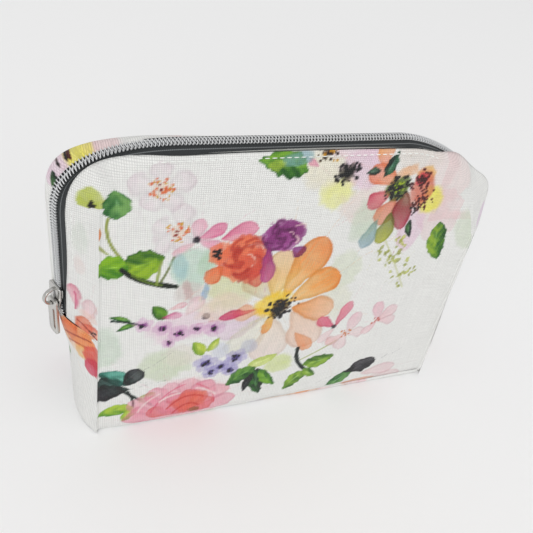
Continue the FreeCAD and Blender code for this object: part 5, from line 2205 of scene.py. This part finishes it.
@dataclass
class Slider:
    """Slider body, its crown, the lock's leaf and the pull tab."""

    place: SliderFrame
    nickel: bpy.types.Material
    satin: bpy.types.Material
    spring: bpy.types.Material
    plate_half: float = 4.2
    plate_half_low: float = 3.0
    plate_reach: float = 6.0

    def settle(self, name: str, bm: bmesh.types.BMesh,
               metal: bpy.types.Material) -> bpy.types.Object:
        """Turn a mesh from the slider's directions into the bag's, and finish it.

        Args:
            name: Name of the piece.
            bm: Its mesh, in the slider's directions.
            metal: Its material.

        Returns:
            The piece.
        """
        outward_normals(bm)
        bmesh.ops.transform(bm, matrix=self.place.matrix(), verts=bm.verts)
        return finish_object(name, bm, metal)

    def body(self) -> bpy.types.Object:
        """The two plates, the side flanges and the divider between them."""
        bm = bmesh.new()
        wide, slim, reach = self.plate_half, self.plate_half_low, self.plate_reach
        outline = []
        for y, z, start, radius in ((wide - 1.6, reach - 1.6, 0.0, 1.6),
                                    (-wide + 1.6, reach - 1.6, 90.0, 1.6),
                                    (-slim + 1.2, -reach + 1.2, 180.0, 1.2),
                                    (slim - 1.2, -reach + 1.2, 270.0, 1.2)):
            if start == 180.0:
                outline.append((-wide, -0.3))
            for step in range(7):
                angle = math.radians(start + 15.0 * step)
                outline.append((y + radius * math.cos(angle), z + radius * math.sin(angle)))
            if start == 270.0:
                outline.append((wide, -0.3))
        for low, high in ((1.0, 2.1), (-2.1, -1.2)):
            plate(bm, outline, low, high)
        for sign in (-1.0, 1.0):
            flange = [(sign * 3.6, 0.2), (sign * 4.15, 0.2), (sign * 4.15, 4.9), (sign * 3.6, 4.9)]
            plate(bm, flange if sign > 0 else flange[::-1], 0.1, 1.05)
        plate(bm, rounded_outline(0.4, -5.9, -2.8, 0.3, 0.3, 3), -1.3, 1.1)
        bmesh.ops.recalc_face_normals(bm, faces=bm.faces)
        bevelled(bm, 0.25, 2, 40.0)
        return self.settle("slider_body_plates", bm, self.nickel)

    def crown(self) -> bpy.types.Object:
        """The half ring that the tab hangs from, standing on two feet."""
        bm = bmesh.new()
        profile = [bm.verts.new((0.0, y, z)) for y, z in
                   ((-0.8, 3.2), (0.8, 3.2), (0.8, 4.3), (-0.8, 4.3))]
        face = bm.faces.new(profile)
        bmesh.ops.spin(bm, geom=[face] + face.edges[:] + face.verts[:], cent=(0.0, 0.0, 0.0),
                       axis=(0.0, 1.0, 0.0), angle=math.pi, steps=20)
        bmesh.ops.translate(bm, vec=(3.15, 0.0, 0.0), verts=bm.verts)
        outward_normals(bm)
        caps = [face for face in bm.faces
                if all(abs(vert.co.x - 3.15) < 1e-4 for vert in face.verts)]
        made = bmesh.ops.extrude_face_region(bm, geom=caps)
        moved = [item for item in made["geom"] if isinstance(item, bmesh.types.BMVert)]
        bmesh.ops.translate(bm, vec=(-1.3, 0.0, 0.0), verts=moved)
        bmesh.ops.delete(bm, geom=[face for face in caps if face.is_valid], context="FACES_ONLY")
        bmesh.ops.recalc_face_normals(bm, faces=bm.faces)
        bevelled(bm, 0.22, 2, 50.0)
        return self.settle("slider_crown_ring", bm, self.nickel)

    def leaf(self) -> bpy.types.Object:
        """The lock's spring leaf between the crown's feet."""
        bm = bmesh.new()
        plate(bm, rounded_outline(0.55, -2.6, 2.6, 0.3, 0.3, 3), 2.1, 2.35)
        bmesh.ops.recalc_face_normals(bm, faces=bm.faces)
        bevelled(bm, 0.06, 1, 60.0)
        return self.settle("slider_lock_leaf", bm, self.spring)

    def tab(self) -> bpy.types.Object:
        """The pull tab: a flat strip with round ends, an eye and a long slot."""
        bm = bmesh.new()
        outer = rounded_outline(3.2, -23.0, -1.7, 2.4, 1.6, 8)
        plate(bm, outer, 2.55, 3.75)
        bmesh.ops.recalc_face_normals(bm, faces=bm.faces)
        mesh = bpy.data.meshes.new("tab_blank")
        bm.to_mesh(mesh)
        bm.free()
        blank = bpy.data.objects.new("tab_blank", mesh)
        cutters = []
        for label, half, low, high, shift in (("eye", 0.9, -4.6, -2.9, 0.0),
                                              ("slot", 0.75, -20.0, -7.0, 1.0)):
            tool = bmesh.new()
            half_width = 1.3 if label == "eye" else half
            points = rounded_outline(half_width, low, high, 0.74, 0.74, 6)
            plate(tool, [(y + shift, z) for y, z in points], 1.5, 4.8)
            bmesh.ops.recalc_face_normals(tool, faces=tool.faces)
            tool_mesh = bpy.data.meshes.new(label)
            tool.to_mesh(tool_mesh)
            tool.free()
            cutters.append(bpy.data.objects.new("cut_" + label, tool_mesh))
        for item in [blank] + cutters:
            bpy.context.scene.collection.objects.link(item)
        for cutter in cutters:
            change = blank.modifiers.new(cutter.name, "BOOLEAN")
            change.operation = "DIFFERENCE"
            change.solver = "EXACT"
            change.object = cutter
        bpy.context.view_layer.update()
        depsgraph = bpy.context.evaluated_depsgraph_get()
        cut = bpy.data.meshes.new_from_object(blank.evaluated_get(depsgraph))
        done = bmesh.new()
        done.from_mesh(cut)
        for item in [blank] + cutters:
            old = item.data
            bpy.data.objects.remove(item)
            bpy.data.meshes.remove(old)
        bpy.data.meshes.remove(cut)
        bevelled(done, 0.2, 2, 50.0)
        return self.settle("pull_tab_plate", done, self.satin)

    def stops(self) -> list[bpy.types.Object]:
        """The two metal stops clamped over the coil's ends."""
        made = []
        for label, sign in (("left", -1.0), ("right", 1.0)):
            bm = bmesh.new()
            plate(bm, rounded_outline(3.1, 62.2, 64.5, 0.7, 0.7, 4), -0.1, 0.9)
            bmesh.ops.recalc_face_normals(bm, faces=bm.faces)
            bevelled(bm, 0.25, 2, 50.0)
            out = Vector((sign * math.cos(FORM.tilt), -math.sin(FORM.tilt), 0.0))
            beside = Vector((-sign * math.sin(FORM.tilt), -math.cos(FORM.tilt), 0.0))
            turned = Matrix((out, beside, Vector((0.0, 0.0, 1.0)))).transposed().to_4x4()
            turned.translation = Vector((sign * FORM.leg, 0.0, 0.0))
            bmesh.ops.transform(bm, matrix=turned, verts=bm.verts)
            outward_normals(bm)
            write_points(bm, FORM.crown(read_points(bm)))
            made.append(finish_object(label + "_zip_stop_bar", bm, self.nickel))
        return made


# ------------------------------------------------------------------ the studio


@dataclass(frozen=True)
class Lamp:
    """One soft square lamp that looks at the bag."""

    name: str
    place: tuple[float, float, float]
    size: float
    power: float
    colour: Rgb = (255, 255, 255)

    def build(self, target: Vector) -> None:
        """Hang the lamp and aim it."""
        light = bpy.data.lights.new(self.name, "AREA")
        light.shape = "SQUARE"
        light.size = self.size
        light.energy = self.power
        light.color = tuple(linear_rgb(self.colour))
        lamp = bpy.data.objects.new(self.name, light)
        lamp.location = self.place
        aim = target - Vector(self.place)
        lamp.rotation_euler = aim.to_track_quat("-Z", "Y").to_euler()
        bpy.context.scene.collection.objects.link(lamp)


@dataclass(frozen=True)
class Studio:
    """Pale floor, soft lamps and the camera."""

    eye: tuple[float, float, float] = (-0.11015, -0.18456, 0.26687)
    azimuth: float = 28.5
    elevation: float = 42.3
    roll: float = 14.4
    lens: float = 40.66
    floor_half: float = 20.0
    floor_colour: Rgb = (248, 248, 248)
    air_strength: float = 0.70
    lamps: tuple[Lamp, ...] = (Lamp("key", (-1.6, -2.6, 1.9), 2.2, 40.0),
                               Lamp("overhead", (0.4, 0.6, 3.4), 2.5, 5.0),
                               Lamp("fill", (2.6, -2.0, 1.2), 2.0, 12.0))

    def camera(self) -> None:
        """Set the camera at its place, turned and rolled."""
        azimuth, elevation = math.radians(self.azimuth), math.radians(self.elevation)
        back = Vector((-math.sin(azimuth) * math.cos(elevation),
                       -math.cos(azimuth) * math.cos(elevation), math.sin(elevation)))
        right = (-back).cross(Vector((0.0, 0.0, 1.0))).normalized()
        up = right.cross(-back)
        roll = math.radians(self.roll)
        turned_right = right * math.cos(roll) + up * math.sin(roll)
        turned_up = up * math.cos(roll) - right * math.sin(roll)
        lens = bpy.data.cameras.new("camera")
        lens.lens = self.lens
        lens.sensor_width = 36.0
        lens.clip_start = 0.01
        lens.clip_end = 50.0
        camera = bpy.data.objects.new("camera", lens)
        placed = Matrix((turned_right, turned_up, back)).transposed().to_4x4()
        placed.translation = Vector(self.eye)
        camera.matrix_world = placed
        bpy.context.scene.collection.objects.link(camera)
        bpy.context.scene.camera = camera

    def floor(self) -> None:
        """Lay the floor."""
        bm = bmesh.new()
        bmesh.ops.create_grid(bm, x_segments=2, y_segments=2, size=self.floor_half / MM)
        finish = Finish("floor_paper", self.floor_colour, 0.95)
        material, _, shader = finish.start()
        shader.inputs["Specular IOR Level"].default_value = 0.1
        piece = finish_object("floor", bm, material)

    def light(self) -> None:
        """Light the bag softly from every side, and a little more from above."""
        world = bpy.data.worlds.new("studio_air")
        world.use_nodes = True
        air = next(node for node in world.node_tree.nodes if node.type == "BACKGROUND")
        air.inputs["Color"].default_value = (1.0, 1.0, 1.0, 1.0)
        air.inputs["Strength"].default_value = self.air_strength
        bpy.context.scene.world = world
        target = Vector((0.0, 0.0, 0.07))
        for lamp in self.lamps:
            lamp.build(target)

    def build(self) -> None:
        """Set up the whole studio."""
        self.camera()
        self.floor()
        self.light()
        view = bpy.context.scene.view_settings
        view.view_transform = "Standard"
        view.look = "None"


# ------------------------------------------------------------------ putting it together


def stand_for(piece: bpy.types.Object, body: str, slot: str, *nodes: str) -> bpy.types.Object:
    """Let a piece stand for CAD nodes and move with a body.

    Args:
        piece: The finished piece.
        body: The CAD body it moves with, or an empty name if it bends with the front.
        slot: Name of a material slot; it is not used.
        nodes: The CAD nodes it replaces.

    Returns:
        The piece.
    """
    if nodes:
        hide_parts(*nodes)
    if body:
        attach(piece, body)
    else:
        bend_with_front(piece)
    LOG.info("%s stands for %s", piece.name, ", ".join(nodes) or "nothing in CAD")
    return piece


def make_canvas(front: PanelForm, back: PanelForm, canvas: bpy.types.Material) -> list[Gusset]:
    """Make the printed outside: front, back, sides and base.

    Args:
        front: Form of the front panel.
        back: Form of the back panel.
        canvas: The printed canvas.

    Returns:
        The left and the right side, whose forms the lining follows.
    """
    blooms = all_bouquets()
    front_print = PrintSheet(blooms, left_strip(), right_strip())
    back_print = PrintSheet(shifted(blooms, 34.0, -12.0) + shifted(blooms, -150.0, 20.0), (), ())
    stand_for(Panel(front, front_print, canvas).build("front_canvas"), "", "canvas",
              "front_panel_lower", "front_panel_upper")
    stand_for(Panel(back, back_print, canvas).build("back_canvas"), "bag", "canvas",
              "back_panel")
    sides = []
    for label, sign in (("left", -1.0), ("right", 1.0)):
        strip = PrintSheet(gusset_marks(sign), (), ())
        gusset = Gusset(sign, front, back, canvas, strip)
        sides.append(gusset)
        stand_for(gusset.build(label + "_side_canvas"), "bag", "canvas",
                  label + "_side_gusset")
    base = BaseCloth(front, back, canvas, PrintSheet(shifted(blooms, 10.0, -70.0), (), ()))
    stand_for(base.build("base_canvas"), "bag", "canvas", "base_panel", "base_board")
    return sides


def make_lining(front: PanelForm, back: PanelForm, sides: Sequence[Gusset],
                lining_cloth: bpy.types.Material) -> None:
    """Make the plain cloth inside the bag.

    Args:
        front: Form of the front panel.
        back: Form of the back panel.
        sides: The left and the right side.
        lining_cloth: The lining's material.
    """
    skin = 2.6
    inner_front = replace(front, skin=skin, puff=0.0, ear=0.0, shoulder_dip=0.0)
    inner_back = replace(back, skin=skin, lap=0.0)
    lining = Lining(inner_front, inner_back, lining_cloth, skin)
    stand_for(lining.wall("front_lining_cloth", inner_front), "", "lining",
              "front_lining_lower", "front_lining_upper", "front_padding_lower",
              "front_padding_upper")
    stand_for(lining.wall("back_lining_cloth", inner_back), "bag", "lining",
              "back_lining", "back_padding")
    for label, gusset in (("left", sides[0]), ("right", sides[1])):
        stand_for(lining.side(label + "_lining_cloth", gusset), "bag", "lining",
                  label + "_side_lining")
    stand_for(lining.floor("base_lining_cloth"), "bag", "lining", "base_lining")


def make_zip(front: PanelForm, back: PanelForm, tape_cloth: bpy.types.Material,
             silver: bpy.types.Material, thread: bpy.types.Material) -> None:
    """Make the tape, the coil and the topstitches beside them.

    Args:
        front: Form of the front panel.
        back: Form of the back panel.
        tape_cloth: The tape's material.
        silver: The coil's material.
        thread: The stitches' material.
    """
    stand_for(ZipTape(ZipBand(Side.FRONT), tape_cloth).build("front_tape"), "", "zip_tape",
              "front_zip_tape", "front_zip_tape_ends")
    rear_band = ZipBand(Side.BACK, leg_width=1.4, top_width=1.4)
    stand_for(ZipTape(rear_band, tape_cloth).build("rear_tape"), "bag", "zip_tape",
              "rear_zip_tape")
    stand_for(ZipCoil(Side.FRONT, silver).build("front_coil"), "", "zip_coil",
              "front_zip_coil", "front_zip_coil_ends")
    stand_for(ZipCoil(Side.BACK, silver).build("rear_coil"), "bag", "zip_coil",
              "rear_zip_coil")
    stand_for(TopStitches(front, thread).build("front_topstitch"), "", "canvas")
    stand_for(TopStitches(back, thread).build("back_topstitch"), "bag", "canvas")


def make_slider(nickel: bpy.types.Material, satin: bpy.types.Material,
                steel: bpy.types.Material) -> None:
    """Make the slider, its pull tab and the two stops.

    Args:
        nickel: The bright metal.
        satin: The tab's metal.
        steel: The lock spring's metal.
    """
    slider = Slider(SliderFrame(), nickel, satin, steel)
    stand_for(slider.body(), "slider", "nickel", "slider_body")
    stand_for(slider.crown(), "slider", "nickel", "slider_crown")
    stand_for(slider.leaf(), "slider", "spring_steel", "slider_lock_spring")
    stand_for(slider.tab(), "pull", "satin_nickel", "pull_tab")
    for piece, node in zip(slider.stops(), ("left_zip_stop", "right_zip_stop")):
        stand_for(piece, "bag", "nickel", node)


def main() -> None:
    """Build the bag, piece by piece, and the studio around it."""
    logging.basicConfig(level=logging.INFO, format="%(message)s")
    weave = build_weave_group()
    canvas = WovenFinish("printed_canvas", (232, 234, 230), 0.9, printed=True,
                         pitch=0.86, contrast=0.42, relief=1.0, depth_mm=0.22, slub=0.4).build(weave)
    lining_cloth = WovenFinish("lining_cloth", (222, 222, 218), 0.85, pitch=0.35,
                               contrast=0.1).build(weave)
    tape_cloth = TapeFinish("zip_tape_cloth", (44, 48, 50), 0.8).build()
    silver = MetalFinish("silvered_coil", (226, 227, 228), 0.38, 0.4).build()
    nickel = MetalFinish("polished_nickel", (196, 195, 192), 0.2, 1.0).build()
    satin = MetalFinish("satin_nickel", (205, 204, 200), 0.32, 1.0, grain=0.05).build()
    steel = MetalFinish("spring_steel", (150, 150, 150), 0.3, 1.0).build()
    thread = Finish("white_thread", (236, 238, 234), 0.7).start()[0]

    front = PanelForm(Side.FRONT, puff=3.0, ear=5.0, foot_reach=1.5, foot_depth=3.0, shoulder_dip=4.3)
    back = PanelForm(Side.BACK, crease_foot=91.0, crease_top=99.0, edge_inset=-2.2,
                     edge_rise=-6.0, edge_depth_leg=8.3, dent=0.4, belly=0.8, seed=17, lap=7.0,
                     left_fullness=3.2, left_raise=3.2)
    sides = make_canvas(front, back, canvas)
    make_lining(front, back, sides, lining_cloth)
    make_zip(front, back, tape_cloth, silver, thread)
    make_slider(nickel, satin, steel)
    Studio().build()


if __name__ == "__main__":
    main()
